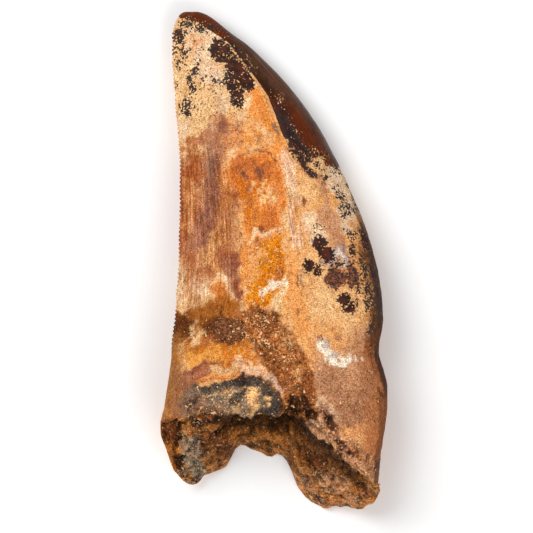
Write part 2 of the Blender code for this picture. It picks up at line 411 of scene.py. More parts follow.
def tooth_mesh():
    """The fine mesh before its relief, as an object, with the facts of its points."""
    tooth = Tooth()
    upper_rim, lower_rim = tooth.walls()
    tooth.break_face(upper_rim, lower_rim)
    tooth.finish()
    mesh = bpy.data.meshes.new("fossil_tooth")
    mesh.from_pydata((tooth.points * MM).tolist(), [], tooth.faces)
    mesh.shade_smooth()
    made = bpy.data.objects.new("fossil_tooth", mesh)
    bpy.context.scene.collection.objects.link(made)
    return made, tooth


# Stains and relief


def linear(colour):
    """Turns a colour as a screen shows it into linear numbers."""
    c = np.array(colour)
    return np.where(c <= 0.04045, c / 12.92, ((c + 0.055) / 1.055) ** 2.4)


def to_line(x, y, line):
    """The distance from places to a broken line, and on which side of it they are (1 is its left)."""
    nearest = np.full(x.shape, np.inf)
    side = np.ones(x.shape)
    for (ax, ay), (bx, by) in zip(line, line[1:]):
        dx, dy = bx - ax, by - ay
        t = np.clip(((x - ax) * dx + (y - ay) * dy) / (dx * dx + dy * dy), 0.0, 1.0)
        gap = np.hypot(x - ax - t * dx, y - ay - t * dy)
        closer = gap < nearest
        nearest = np.where(closer, gap, nearest)
        turn = np.sign(dx * (y - ay) - dy * (x - ax))
        side = np.where(closer, turn, side)
    return nearest, side


class Coat:
    """What covers the tooth: a colour and a few amounts at every point of the mesh."""

    AMOUNTS = ("black", "fleck", "vein", "grit", "enamel", "streak", "broken")

    def __init__(self, tooth):
        self.points = tooth.points
        self.x, self.y = tooth.points.T[:2]
        self.share, self.distance, self.side = tooth.facts.T
        self.growth = np.stack([GROWTH_SPAN * self.share, self.distance, 8 * self.side], axis=-1)
        self.upper = (self.side > 0.5).astype(float)
        self.lower = (self.side < -0.5).astype(float)
        self.cap = 1 - self.upper - self.lower
        self.walls = self.upper + self.lower
        near_edge = ramp(0.12, 0.03, self.share) + ramp(0.86, 0.97, self.share)
        self.seen = self.upper + self.lower * near_edge
        self.front_gap = along(FRONT_EDGE, self.distance) - self.x
        self.wavy_x = self.x + 0.6 * fuzz(self.points, 3.2, 5.0) + 0.4 * fuzz(self.points, 1.1, 6.0)
        self.wavy_y = self.y + 0.8 * fuzz(self.points, 3.2, 7.0) + 0.5 * fuzz(self.points, 1.1, 8.0)
        self.waver(True)
        self.rag = (
            0.5 * fuzz(self.points, 2.4, 1.0)
            + 0.45 * fuzz(self.points, 0.9, 2.0)
            + 0.45 * fuzz(self.points, 0.36, 3.0)
        )
        narrow = fuzz(self.growth / (0.45, 6.0, 4.0), 1.0, 4.0, 3)
        wide = fuzz(self.growth / (1.5, 11.0, 4.0), 1.0, 9.0, 1)
        self.streaks = 0.8 * narrow + 0.6 * wide
        self.tint = np.tile(linear(PALETTE["tan"]), (len(self.points), 1))
        self.enamel_tint = np.tile(linear(PALETTE["enamel_red"]), (len(self.points), 1))
        self.relief = np.zeros(len(self.points))
        for name in self.AMOUNTS:
            setattr(self, name, np.zeros(len(self.points)))

    def waver(self, wavy):
        """Says whether shapes get crooked by a millimetre or so, or stay where they are put."""
        self.at_x, self.at_y = (self.wavy_x, self.wavy_y) if wavy else (self.x, self.y)

    def oval(self, x, y, wide, high, turn=0.0):
        """How far inside a turned oval each point lies."""
        c, s = math.cos(math.radians(turn)), math.sin(math.radians(turn))
        dx, dy = self.at_x - x, self.at_y - y
        reach = np.hypot((dx * c + dy * s) / wide, (dy * c - dx * s) / high)
        return (1 - reach) * min(wide, high)

    def band(self, line, width):
        """How far inside a band along a broken line each point lies."""
        return width / 2 - to_line(self.at_x, self.at_y, line)[0]

    def area(self, corners):
        """How far inside an area with the given corners each point lies."""
        closed = corners + corners[:1]
        x, y = self.at_x, self.at_y
        inside = np.zeros(x.shape, bool)
        for (ax, ay), (bx, by) in zip(closed, closed[1:]):
            if ay != by:
                crossing = (ay > y) != (by > y)
                inside ^= crossing & (x < (bx - ax) * (y - ay) / (by - ay) + ax)
        gap = to_line(x, y, closed)[0]
        return np.where(inside, gap, -gap)

    def mask(self, depth, ragged, soft, streaky):
        """1 inside a shape and 0 outside, with a ragged or streaky border."""
        return ramp(-soft, soft, depth + ragged * self.rag + streaky * self.streaks)

    def mix(self, cover, colour):
        """Blends a colour of the palette into the dentine's own."""
        self.tint += cover[:, None] * (linear(PALETTE[colour]) - self.tint)

    def paint(self, depth, colour, strength=1.0, ragged=0.4, soft=0.35, streaky=0.0, most=9.0, where=None):
        """Covers a shape with a colour of the palette. A small most leaves gaps inside the shape."""
        where = self.seen if where is None else where
        depth = np.minimum(depth, most)
        self.mix(strength * self.mask(depth, ragged, soft, streaky) * where, colour)

    def spots(self, colour, strength, ragged, soft, *ovals, **look):
        """Paints several ovals: (x, y, half width, half height) and perhaps a turn in degrees."""
        for oval in ovals:
            self.paint(self.oval(*oval), colour, strength, ragged, soft, **look)

    def strokes(self, colour, strength, ragged, soft, *lines, **look):
        """Paints several strokes: the width of each, and then the points of its line."""
        for width, *line in lines:
            self.paint(self.band(line, width), colour, strength, ragged, soft, **look)

    def amount(self, name, depth, value, ragged=0.3, soft=0.5, streaky=0.0, where=None):
        """Raises one of the amounts inside a shape."""
        cover = self.mask(depth, ragged, soft, streaky) * (self.seen if where is None else where)
        setattr(self, name, np.maximum(getattr(self, name), cover * value))

    def raise_by(self, depth, height, ragged=0.2, soft=0.15):
        """Lifts or sinks a shape of the upper wall, in millimetres."""
        self.relief += height * self.mask(depth, ragged, soft, 0.0) * self.upper


def paint_tip(coat):
    """The cream field below the tip."""
    coat.paint(coat.area([(-16, 36), (2, 36), (2, 14), (-16, 14)]), "tan", 1.0, 0.4, 2.0)
    coat.spots("pink_cream", 1.0, 0.8, 0.9, (-9.8, 29.2, 2.6, 3.2, -20), (-8.6, 25.6, 2.4, 1.6, -30))
    coat.spots(
        "sand", 1.0, 0.8, 0.9,
        (-12.4, 25.6, 1.6, 3.4), (-12.6, 22.0, 1.5, 3.6), (-9.6, 21.6, 2.4, 1.6),
    )
    coat.spots("pink_cream", 0.8, 0.6, 0.6, (-12.2, 18.4, 1.0, 1.6), (-6.8, 21.6, 1.2, 1.0))
    coat.spots("orange", 0.6, 0.5, 0.3, (-10.7, 29.9, 0.7, 0.5), (-9.9, 30.6, 0.4, 0.4))
    slanted = np.stack([(coat.x - coat.y) / 0.8, (coat.x + coat.y) / 5.0, 0 * coat.x], axis=-1)
    lines = fuzz(slanted, 1.0, 15.0) * ramp(19.0, 22.0, coat.y) * coat.seen
    coat.mix(0.6 * np.clip(lines, 0, 1), "orange_tan")
    coat.mix(0.7 * np.clip(-lines, 0, 1), "cream")
    coat.amount(
        "black",
        coat.area([(-13.6, 32.6), (-9.0, 31.0), (-5.0, 25.0), (-4.0, 20.4), (-12.0, 18.0), (-14.0, 24.0)]),
        0.2, soft=1.0,
    )


def paint_orange_field(coat):
    """The orange and cream field below the black patch, with its mauve and rust spots."""
    field = [
        (-8.4, 20.0), (-5.0, 20.4), (-3.0, 24.0), (-1.0, 23.2), (1.6, 17.6), (3.0, 13.4), (-7.0, 12.6),
    ]
    coat.paint(coat.area(field), "orange_tan", 1.0, 0.9, 0.8)
    coat.spots(
        "orange", 0.9, 0.7, 0.6,
        (-2.6, 21.8, 1.4, 1.7, -20), (-1.0, 20.2, 0.9, 2.4, 20), (0.6, 17.0, 0.8, 3.4, 18),
    )
    coat.spots("orange", 0.6, 0.9, 0.8, (-5.4, 16.8, 1.6, 1.6), (-2.8, 17.2, 1.8, 1.2))
    coat.spots(
        "deep_orange", 0.6, 0.6, 0.6,
        (-1.9, 21.7, 0.5, 0.9), (-5.3, 17.4, 1.0, 0.7), (-6.1, 15.2, 1.0, 0.9),
    )
    coat.spots(
        "cream", 0.7, 0.8, 0.4,
        (-3.9, 21.4, 0.6, 1.0), (-4.6, 19.6, 0.8, 0.5), (-1.2, 17.6, 0.4, 1.3, 10),
        (-5.6, 14.4, 0.8, 0.8), (-8.3, 17.9, 0.4, 0.7),
    )
    coat.spots("mauve", 0.8, 0.7, 0.8, (-7.1, 18.6, 1.3, 1.9, 5), (-4.6, 18.5, 0.8, 0.8))
    coat.spots("red_mauve", 0.7, 0.6, 0.6, (-6.9, 18.6, 0.8, 1.3, 5), (-4.4, 17.9, 0.4, 0.5))
    coat.strokes("dark_mauve", 0.7, 0.7, 0.35, (0.6, (-7.2, 20.0), (-6.9, 17.6)))
    coat.spots("orange", 0.7, 0.6, 0.2, (-6.7, 16.6, 0.4, 0.3), (-5.8, 19.2, 0.3, 0.4))
    coat.spots("mauve", 0.7, 0.5, 0.3, (-2.3, 16.4, 0.5, 0.5), (-1.1, 16.9, 0.3, 0.5))
    coat.spots(
        "rust", 0.7, 0.5, 0.4,
        (-4.7, 16.2, 0.4, 0.5), (-6.9, 16.0, 0.8, 0.9), (-7.6, 14.8, 0.7, 1.2),
    )
    coat.spots(
        "rust", 0.85, 0.9, 0.25,
        (-11.0, 16.4, 0.9, 0.9), (-11.3, 15.2, 0.9, 0.5, 20), (-9.9, 16.8, 0.5, 1.0),
    )
    coat.spots("olive", 0.95, 0.7, 0.4, (-10.7, 13.3, 1.0, 1.3))
    arch = [
        (-5.4, 19.6), (-2.6, 20.0), (1.0, 16.2), (-0.4, 15.2), (-6.0, 14.2), (-9.0, 14.4), (-7.2, 16.4),
    ]
    coat.amount("vein", coat.area(arch), 0.42)


def paint_rear_band(coat):
    """The streaky rust, mauve and cream bands that run along the serrated edge."""
    field = [
        (-15, 12.6), (-11.6, 13.0), (-9.6, 15.6), (-8.0, 16.4), (-6.6, 12.0), (-5.6, 5.0), (-5.2, -1.0),
        (-9.5, -3.4), (-15, -1),
    ]
    coat.paint(coat.area(field), "rust", 0.95, 0.6, 0.6, streaky=0.9)
    coat.strokes(
        "red_rust", 0.7, 0.25, 0.6,
        (3.2, (-12.0, 12.4), (-12.0, 6.0), (-12.4, 1.0)), streaky=0.9,
    )
    coat.strokes(
        "mauve", 0.85, 0.4, 0.5,
        (2.6, (-8.8, 16.6), (-8.4, 12.0), (-8.7, 6.0), (-9.4, 0.0)), (1.2, (-10.6, 4.0), (-11.0, -1.0)),
        (1.8, (-6.3, 8.4), (-6.0, 4.2), (-6.2, 1.0)), streaky=0.9,
    )
    coat.strokes(
        "dark_mauve", 0.65, 0.3, 0.35,
        (1.3, (-8.2, 12.6), (-8.5, 7.6)), (1.1, (-9.0, 6.0), (-9.4, 0.8)),
        (0.9, (-6.7, 7.6), (-6.6, 3.0)), streaky=1.3, most=0.0,
    )
    coat.strokes(
        "orange_tan", 0.55, 0.5, 0.3,
        (2.0, (-6.4, 12.6), (-6.0, 7.0), (-6.2, 2.6)), (0.8, (-11.4, 11.0), (-11.6, 5.0)),
        (1.6, (-7.6, 4.6), (-8.2, 0.0)), streaky=-1.3, most=-0.1,
    )
    coat.strokes(
        "pink_brown", 0.5, 0.35, 0.2,
        (0.7, (-9.3, 17.0), (-9.5, 14.0), (-9.9, 10.0), (-10.8, 5.0), (-11.2, 0.4)),
        (1.0, (-6.9, 13.4), (-7.0, 7.0)), (1.4, (-8.4, 10.0), (-8.8, 0.0)), streaky=-1.6, most=-0.4,
    )
    coat.strokes("grey_tan", 0.3, 0.4, 0.4, (1.0, (-9.0, 15.8), (-8.8, 11.5)), streaky=0.8)
    coat.spots("cream_orange", 0.6, 0.8, 0.3, (-7.9, 3.8, 0.35, 0.8, -30), (-7.6, 1.5, 0.5, 1.2, -20))
    coat.spots(
        "tan", 0.6, 0.7, 0.6,
        (-12.9, -1.8, 0.9, 2.6), (-11.6, -2.8, 1.8, 2.4), (-10.2, -5.2, 1.8, 1.6), streaky=1.1,
    )
    coat.spots(
        "pink_cream", 0.5, 0.6, 0.4,
        (-12.9, -3.4, 0.8, 2.2), (-10.2, -3.8, 1.0, 1.2, 30), streaky=0.9,
    )
    coat.strokes(
        "mauve", 0.75, 0.25, 0.3,
        (0.8, (-12.2, 1.6), (-12.1, -3.0)), (1.2, (-10.4, 0.0), (-10.8, -3.0)), streaky=1.2, most=0.1,
    )
    coat.strokes(
        "rust", 0.7, 0.25, 0.4,
        (1.6, (-11.4, 0.6), (-11.2, -5.2)), (0.6, (-13.4, 1.0), (-13.3, -2.0)), streaky=1.0, most=0.3,
    )
    coat.amount("fleck", coat.area([(-12.6, 11.0), (-8.0, 11.0), (-8.4, -2.0), (-13.0, -2.0)]), 0.26)
    along_band = ramp(0, 4, 17 - coat.y) * ramp(-9, -5, coat.y)
    coat.streak = np.maximum(coat.streak, coat.seen * along_band * ramp(-4.0, -7.0, coat.wavy_x))


def paint_glow(coat):
    """The red-orange arch in the middle of the crown and what lies under it."""
    field = [
        (-6.4, 11.6), (-5.6, 14.0), (-4.2, 15.1), (-0.5, 15.2), (1.4, 13.6), (1.9, 9.0), (1.6, 3.6),
        (-1.4, 2.6), (-4.8, -7.0), (-5.2, 3.0), (-5.9, 7.0),
    ]
    coat.strokes("rust", 0.55, 0.8, 0.8, (3.0, (-5.7, 9.0), (-5.0, 0.0)))
    coat.paint(coat.area(field), "orange", 0.9, 0.8, 0.8, streaky=0.9)
    coat.spots(
        "deep_orange", 0.8, 0.9, 0.9,
        (-3.0, 12.2, 2.6, 2.4), (-5.2, 11.0, 0.9, 2.4, -10), (-0.2, 12.2, 1.0, 2.0, 20),
    )
    coat.spots(
        "rust", 0.7, 0.8, 0.6,
        (-2.6, 12.9, 1.5, 0.9, -8), (-4.4, 12.2, 0.9, 0.9), (-1.2, 12.2, 0.7, 1.0),
    )
    coat.spots("deep_orange", 0.6, 1.1, 1.2, (-1.0, 5.6, 2.0, 2.8), (0.4, 7.0, 0.8, 2.4), streaky=0.6)
    coat.spots("rust", 0.35, 1.1, 0.9, (-1.4, 4.4, 1.2, 1.2), (-0.4, 6.8, 0.5, 1.2))
    coat.spots(
        "orange", 0.8, 0.9, 0.7,
        (-4.0, 5.0, 1.3, 3.2), (-4.4, 1.0, 1.0, 2.0), (-2.6, 6.6, 1.0, 1.6), streaky=0.8,
    )
    coat.spots("mauve", 0.5, 0.7, 0.5, (-4.9, 4.6, 0.7, 1.8), (-3.9, 2.6, 0.5, 1.0), streaky=0.9)
    coat.spots(
        "yellow_orange", 0.85, 0.9, 0.5,
        (-4.0, 9.6, 1.0, 1.3), (-1.6, 9.6, 2.0, 1.2), (-3.8, 6.8, 0.6, 2.0),
    )
    coat.spots(
        "rust", 0.85, 0.5, 0.35,
        (-3.8, 11.5, 0.55, 0.6), (-5.4, 9.0, 0.8, 0.9), (-5.2, 7.4, 0.4, 0.8),
    )
    coat.strokes(
        "dark_mauve", 0.85, 0.35, 0.2,
        (0.6, (-2.2, 12.5), (-1.9, 10.9)), (0.5, (-3.9, 11.9), (-3.6, 11.1)),
        (0.35, (-3.3, 10.9), (-3.2, 9.0)), streaky=0.3,
    )
    coat.strokes("rust", 0.7, 0.3, 0.2, (0.5, (-3.3, 9.4), (-3.0, 7.2)), (0.4, (-2.6, 7.0), (-2.8, 2.4)))
    coat.spots(
        "cream_orange", 0.65, 0.8, 0.15,
        (-1.3, 9.1, 0.3, 0.6), (-0.5, 9.5, 0.3, 0.6), (-0.2, 8.7, 0.4, 0.4), (-2.7, 10.1, 0.3, 0.3),
        (-1.5, 8.4, 0.3, 0.3),
    )
    arch = [
        (-4.9, 13.9), (-4.1, 14.9), (-3.0, 15.15), (-2.2, 15.3), (-1.3, 14.8), (-0.6, 14.9), (0.4, 14.0),
    ]
    coat.strokes("dark_mauve", 0.8, 0.15, 0.1, (0.2, *arch))
    coat.spots(
        "red_rust", 0.95, 0.3, 0.2,
        (-1.6, 4.2, 0.5, 0.6), (-5.0, 6.9, 0.3, 0.6), (-5.2, 8.7, 0.35, 0.5),
    )
    coat.spots("mauve", 0.4, 0.9, 0.5, (-6.0, 6.4, 1.3, 3.4), (-4.9, 3.0, 0.7, 1.8), streaky=0.9)
    coat.spots("amber_brown", 0.6, 0.9, 0.5, (-6.4, 8.6, 0.9, 2.4), (-7.0, 3.4, 0.7, 1.6), streaky=0.9)
    coat.spots(
        "cream_orange", 0.3, 0.8, 0.3,
        (-4.6, 6.8, 0.3, 0.8, -20), (-5.0, 5.4, 0.4, 0.9), (-4.5, 4.0, 0.4, 0.9, 10),
        (-5.2, 3.0, 0.5, 0.5),
    )
    coat.spots(
        "amber_brown", 0.5, 0.9, 0.4,
        (-5.2, 4.4, 0.6, 1.6, 10), (-4.2, 2.0, 0.5, 1.4), streaky=0.6,
    )
    coat.amount("fleck", coat.area([(-6.6, 8.6), (-3.8, 8.6), (-3.2, 1.6), (-6.0, 1.2)]), 0.3, ragged=0.8)
    coat.amount("vein", coat.area([(-5.8, 7.6), (-4.2, 7.2), (-3.8, 1.6), (-5.8, 1.8)]), 0.35)
    coat.amount("vein", coat.oval(-1.2, 9.4, 2.0, 1.2), 0.4)
    coat.amount("streak", coat.area(field), 0.35, soft=0.8)


def paint_amber(coat):
    """The clear amber patch, its white streak and the mauve tongue beside it."""
    whole = [
        (-2.9, 2.4), (-1.4, 2.2), (-0.4, 3.2), (1.3, 4.1), (1.4, -2.9), (0.6, -4.1), (0.0, -5.5),
        (-1.9, -7.2), (-3.8, -6.4), (-3.5, -2.6), (-3.3, 0.6),
    ]
    clear = [
        (-2.3, 1.8), (-0.8, 2.4), (1.3, 3.9), (1.4, -2.9), (0.4, -4.2), (-0.4, -5.8), (-2.4, -6.8),
        (-3.4, -5.4), (-3.0, -1.4),
    ]
    coat.paint(coat.area(whole), "orange", 0.85, 0.6, 0.3)
    coat.paint(coat.area(clear), "amber", 0.95, 0.7, 0.3)
    coat.spots(
        "yellow_orange", 0.5, 0.8, 0.5,
        (0.5, 0.0, 0.7, 2.6), (-1.0, -2.4, 1.0, 1.0), (-1.8, -5.6, 1.0, 0.8),
    )
    coat.spots("rust", 0.6, 0.5, 0.3, (-1.9, 2.2, 0.7, 0.5), (0.4, -2.0, 0.5, 1.0))
    coat.spots("orange_tan", 0.7, 0.8, 0.35, (-2.7, -0.6, 0.6, 2.0), (-2.2, 0.6, 0.9, 0.9))
    coat.strokes("chalk", 0.9, 0.45, 0.12, (0.6, (-1.7, -4.1), (-0.6, -3.7), (0.4, -3.5), (1.2, -2.9)))
    coat.strokes(
        "cream", 0.75, 0.5, 0.12,
        (0.35, (1.4, -2.4), (1.3, -4.4), (0.4, -5.8), (0.2, -6.6)),
        (0.3, (-3.0, 2.8), (-2.4, 3.9), (-1.6, 2.9), (-0.4, 4.0), (1.4, 4.7)),
    )
    coat.amount("fleck", coat.area(whole), 0.42, ragged=0.6)
    coat.amount("grit", coat.area(whole), 0.3, ragged=0.6)
    coat.amount("vein", coat.band([(-2.9, 2.8), (-1.6, 3.2), (1.0, 4.2), (2.2, 4.6)], 1.4), 0.8)
    tongue = [
        (-7.8, 1.6), (-6.4, 1.2), (-4.8, 1.6), (-4.4, -2.6), (-4.1, -5.6), (-4.8, -5.6), (-6.0, -4.2),
        (-6.9, -2.4), (-7.8, -2.4),
    ]
    coat.paint(coat.area(tongue), "mauve", 0.75, 0.6, 0.4, streaky=0.6)
    coat.spots(
        "orange_tan", 0.7, 0.8, 0.4,
        (-8.8, 0.8, 0.9, 1.6, -20), (-8.0, -1.4, 0.8, 0.9), streaky=0.6,
    )
    coat.spots(
        "red_rust", 0.6, 0.6, 0.5,
        (-7.4, 0.2, 0.9, 1.4), (-5.1, -1.6, 0.6, 2.2), (-5.9, 1.2, 0.9, 0.8), streaky=0.5,
    )
    coat.spots("red_mauve", 0.85, 0.5, 0.35, (-5.3, -0.6, 0.9, 2.2), (-4.7, -4.2, 0.6, 1.5), streaky=0.3)
    rim = [
        (-8.2, -2.1), (-7.2, -1.9), (-6.8, -2.6), (-6.6, -3.5), (-5.8, -4.4), (-5.0, -5.6), (-4.2, -6.6),
    ]
    coat.strokes("cream", 0.9, 0.4, 0.1, (0.3, *rim), (0.2, (-6.8, -2.2), (-6.3, -3.0), (-6.3, -3.8)))
    coat.spots("yellow_orange", 0.85, 0.7, 0.5, (-7.3, -4.6, 1.2, 1.6, 10), (-6.2, -6.2, 1.4, 1.0))
    coat.spots("olive", 0.8, 0.7, 0.6, (-6.6, -6.4, 2.6, 1.1), (-10.2, -7.4, 1.2, 1.2))


def paint_front_field(coat):
    """The cream and tan field between the glow and the front edge."""
    coat.paint(
        coat.area([
            (3.4, 13.4), (6.0, 11), (13.5, 13), (16.5, -10), (16.5, -30), (7.0, -24), (5.0, -16),
            (1.4, -7), (1.5, 3),
        ]),
        "orange_tan", 1.0, 0.7, 0.5,
    )
    streak = [(1.9, 14.4), (2.4, 11.4), (2.7, 8.6), (2.8, 5.2), (3.2, 2.4)]
    coat.strokes("pink_streak", 0.75, 0.3, 0.3, (0.9, *streak), streaky=1.3)
    coat.strokes(
        "mauve", 0.6, 0.25, 0.15,
        (0.3, (2.3, 8.6), (2.6, 3.6)), (0.25, (3.4, 9.2), (3.6, 5.6)), (0.5, (3.0, 5.0), (2.8, 3.6)),
    )
    coat.amount("streak", coat.band(streak, 1.8), 0.9)
    coat.spots(
        "orange", 0.4, 0.8, 0.7,
        (4.4, 12.6, 0.9, 1.2), (2.6, -2.6, 1.2, 3.4), (3.8, -8.0, 1.2, 2.6),
    )
    coat.spots(
        "sand", 0.45, 0.9, 0.7,
        (4.6, 9.4, 1.6, 2.6), (6.6, -5.6, 2.2, 3.0), (8.4, -6.4, 2.6, 2.8), (5.6, -1.2, 2.0, 2.4),
        (11.0, -6.0, 1.9, 4.0),
    )
    coat.spots("pink_cream", 0.85, 0.7, 0.5, (5.5, 4.6, 1.5, 2.1), (6.3, 3.0, 1.3, 1.4))
    coat.spots("cream", 0.5, 0.7, 0.5, (5.6, 4.6, 1.2, 1.6))
    coat.spots(
        "pink_cream", 0.95, 0.6, 0.4,
        (9.0, 11.6, 2.2, 2.2, 20), (10.2, 8.4, 1.2, 3.4, 20), (9.6, 5.4, 0.8, 2.0, 20),
    )
    coat.strokes(
        "pink_brown", 0.9, 0.4, 0.3,
        (1.1, (6.3, 11.0), (7.4, 7.8), (8.2, 5.0)), (2.1, (7.2, 6.6), (8.6, 2.6), (9.4, -0.4)),
        streaky=0.4,
    )
    coat.strokes("mauve", 0.5, 0.3, 0.25, (0.4, (6.8, 10.6), (7.6, 8.2)), (0.9, (8.0, 4.6), (9.2, 1.8)))
    coat.spots("lilac_grey", 0.85, 0.6, 0.4, (8.8, 0.6, 1.6, 1.2, -20), (7.2, -0.6, 0.9, 0.5))
    coat.spots("chalk", 0.6, 0.9, 0.3, (8.6, 0.4, 1.1, 0.6, -30))
    coat.spots("red_mauve", 0.95, 0.12, 0.1, (4.1, 7.8, 0.27, 0.75, 5))
    coat.spots(
        "pink_brown", 0.95, 0.8, 0.9,
        (9.8, -17.6, 4.6, 4.8), (12.2, -13.6, 2.6, 4.6), (6.8, -15.4, 1.8, 3.4),
    )
    coat.spots(
        "brown_shade", 0.5, 0.8, 0.9,
        (9.8, -19.4, 1.6, 2.4), (12.8, -19.6, 2.0, 5.0), (9.6, -21.6, 2.0, 1.6), (7.8, -16.4, 2.0, 2.2),
    )
    coat.spots("pink_cream", 0.6, 0.5, 0.4, (5.9, -18.8, 0.7, 0.9, 20), (7.6, -20.8, 0.7, 1.6, 40))
    coat.paint(
        coat.area([(9.6, -23.0), (12.0, -22.0), (15.5, -23.4), (15.5, -32), (12.5, -29.6)]),
        "terracotta", 0.9, 0.9, 0.7,
    )
    coat.spots("cream_orange", 0.7, 0.9, 0.4, (11.6, -24.4, 0.7, 1.2), (12.5, -27.8, 0.8, 1.4))
    coat.spots("grey", 0.8, 0.3, 0.15, (14.2, -28.4, 0.3, 0.8))
    coat.spots("grey", 0.65, 0.2, 0.2, (3.9, -2.6, 0.32, 1.6))
    coat.strokes(
        "umber", 0.9, 0.15, 0.1,
        (0.22, (3.2, -1.8), (3.1, -3.4)), (0.14, (3.3, -6.4), (3.4, -8.4)),
    )
    coat.spots("pink_brown", 0.6, 0.6, 0.2, (8.6, -12.0, 1.0, 0.5))
    edge = [(3.4, -20.0), (5.9, -21.6), (9.9, -25.3), (13.6, -28.2)]
    coat.strokes("pink_brown", 0.8, 0.9, 0.5, (3.2, *edge))
    coat.strokes("rust", 0.5, 0.9, 0.4, (1.2, *edge), most=0.3)
    scar = [(5.3, -19.4), (6.6, -20.0), (7.6, -21.8), (8.8, -23.6), (9.6, -25.8), (10.8, -27.0)]
    coat.strokes("dark_mauve", 0.8, 0.8, 0.3, (1.2, *scar), most=0.3)
    coat.spots("rose_tan", 0.9, 0.6, 0.2, (5.9, -22.2, 0.9, 0.6, -30), (7.6, -24.3, 0.8, 0.6, -30))
    coat.strokes(
        "enamel_dark", 0.85, 0.9, 0.2,
        (0.7, (6.0, -19.8), (7.0, -21.0), (7.9, -22.6)), (0.7, (8.6, -23.6), (9.6, -25.4), (10.4, -26.6)),
    )
    coat.amount("broken", coat.band(edge, 2.4), 0.75, ragged=0.7)
    coat.amount("broken", coat.band(scar, 1.6), 0.75, ragged=0.7)
    coat.amount("grit", coat.band(edge, 3.0), 0.7, ragged=0.7)
    coat.amount("grit", coat.area([(1.6, 3), (4, -1), (13, -3), (13, -14), (4, -16)]), 0.2, soft=1.0)
    coat.amount("grit", coat.oval(10.6, -19.0, 5.0, 6.0), 0.3, soft=1.0)


def paint_front_edge(coat):
    """The dark border below the enamel along the front edge, round both walls: stain and painted shade."""
    inward = coat.front_gap + 1.1 * coat.rag + 0.6 * coat.streaks
    span = ramp(6.5, 0.5, coat.y) * ramp(-17.0, -13.0, coat.y + coat.rag) * coat.walls
    # Darker umber, rust and edge brown towards the front edge, where the side turns from the light: partly
    # stain, partly painted shade.
    coat.mix(0.9 * ramp(2.4, 0.9, inward) * span, "umber")
    coat.mix(0.8 * ramp(1.2, 0.3, inward) * ramp(9.0, 5.0, coat.y) * coat.walls, "edge_stain_and_shade")
    low = ramp(4.6, 0.8, inward) * ramp(-9.0, -13.0, coat.y) * coat.walls
    low = low * (1 - 0.9 * ramp(-25.0, -28.0, coat.y))
    coat.mix(0.7 * low, "rust")
    coat.mix(0.6 * ramp(1.6, 0.3, inward) * low, "umber")
    coat.mix(
        0.8 * ramp(1.0, 0.5, inward) * ramp(-20.0, -17.0, coat.y) * ramp(-9.0, -12.0, coat.y) * coat.walls,
        "edge_stain_and_shade",
    )
    thinner = ramp(3.0, 0.4, coat.front_gap) * ramp(-22.0, -27.0, coat.y)
    coat.relief -= FRONT_THINNING * thinner * coat.walls
    coat.amount(
        "fleck", 3.2 - coat.front_gap, 0.2 * ramp(8.0, 2.0, coat.y) * ramp(-14.0, -10.0, coat.y),
        where=coat.walls,
    )


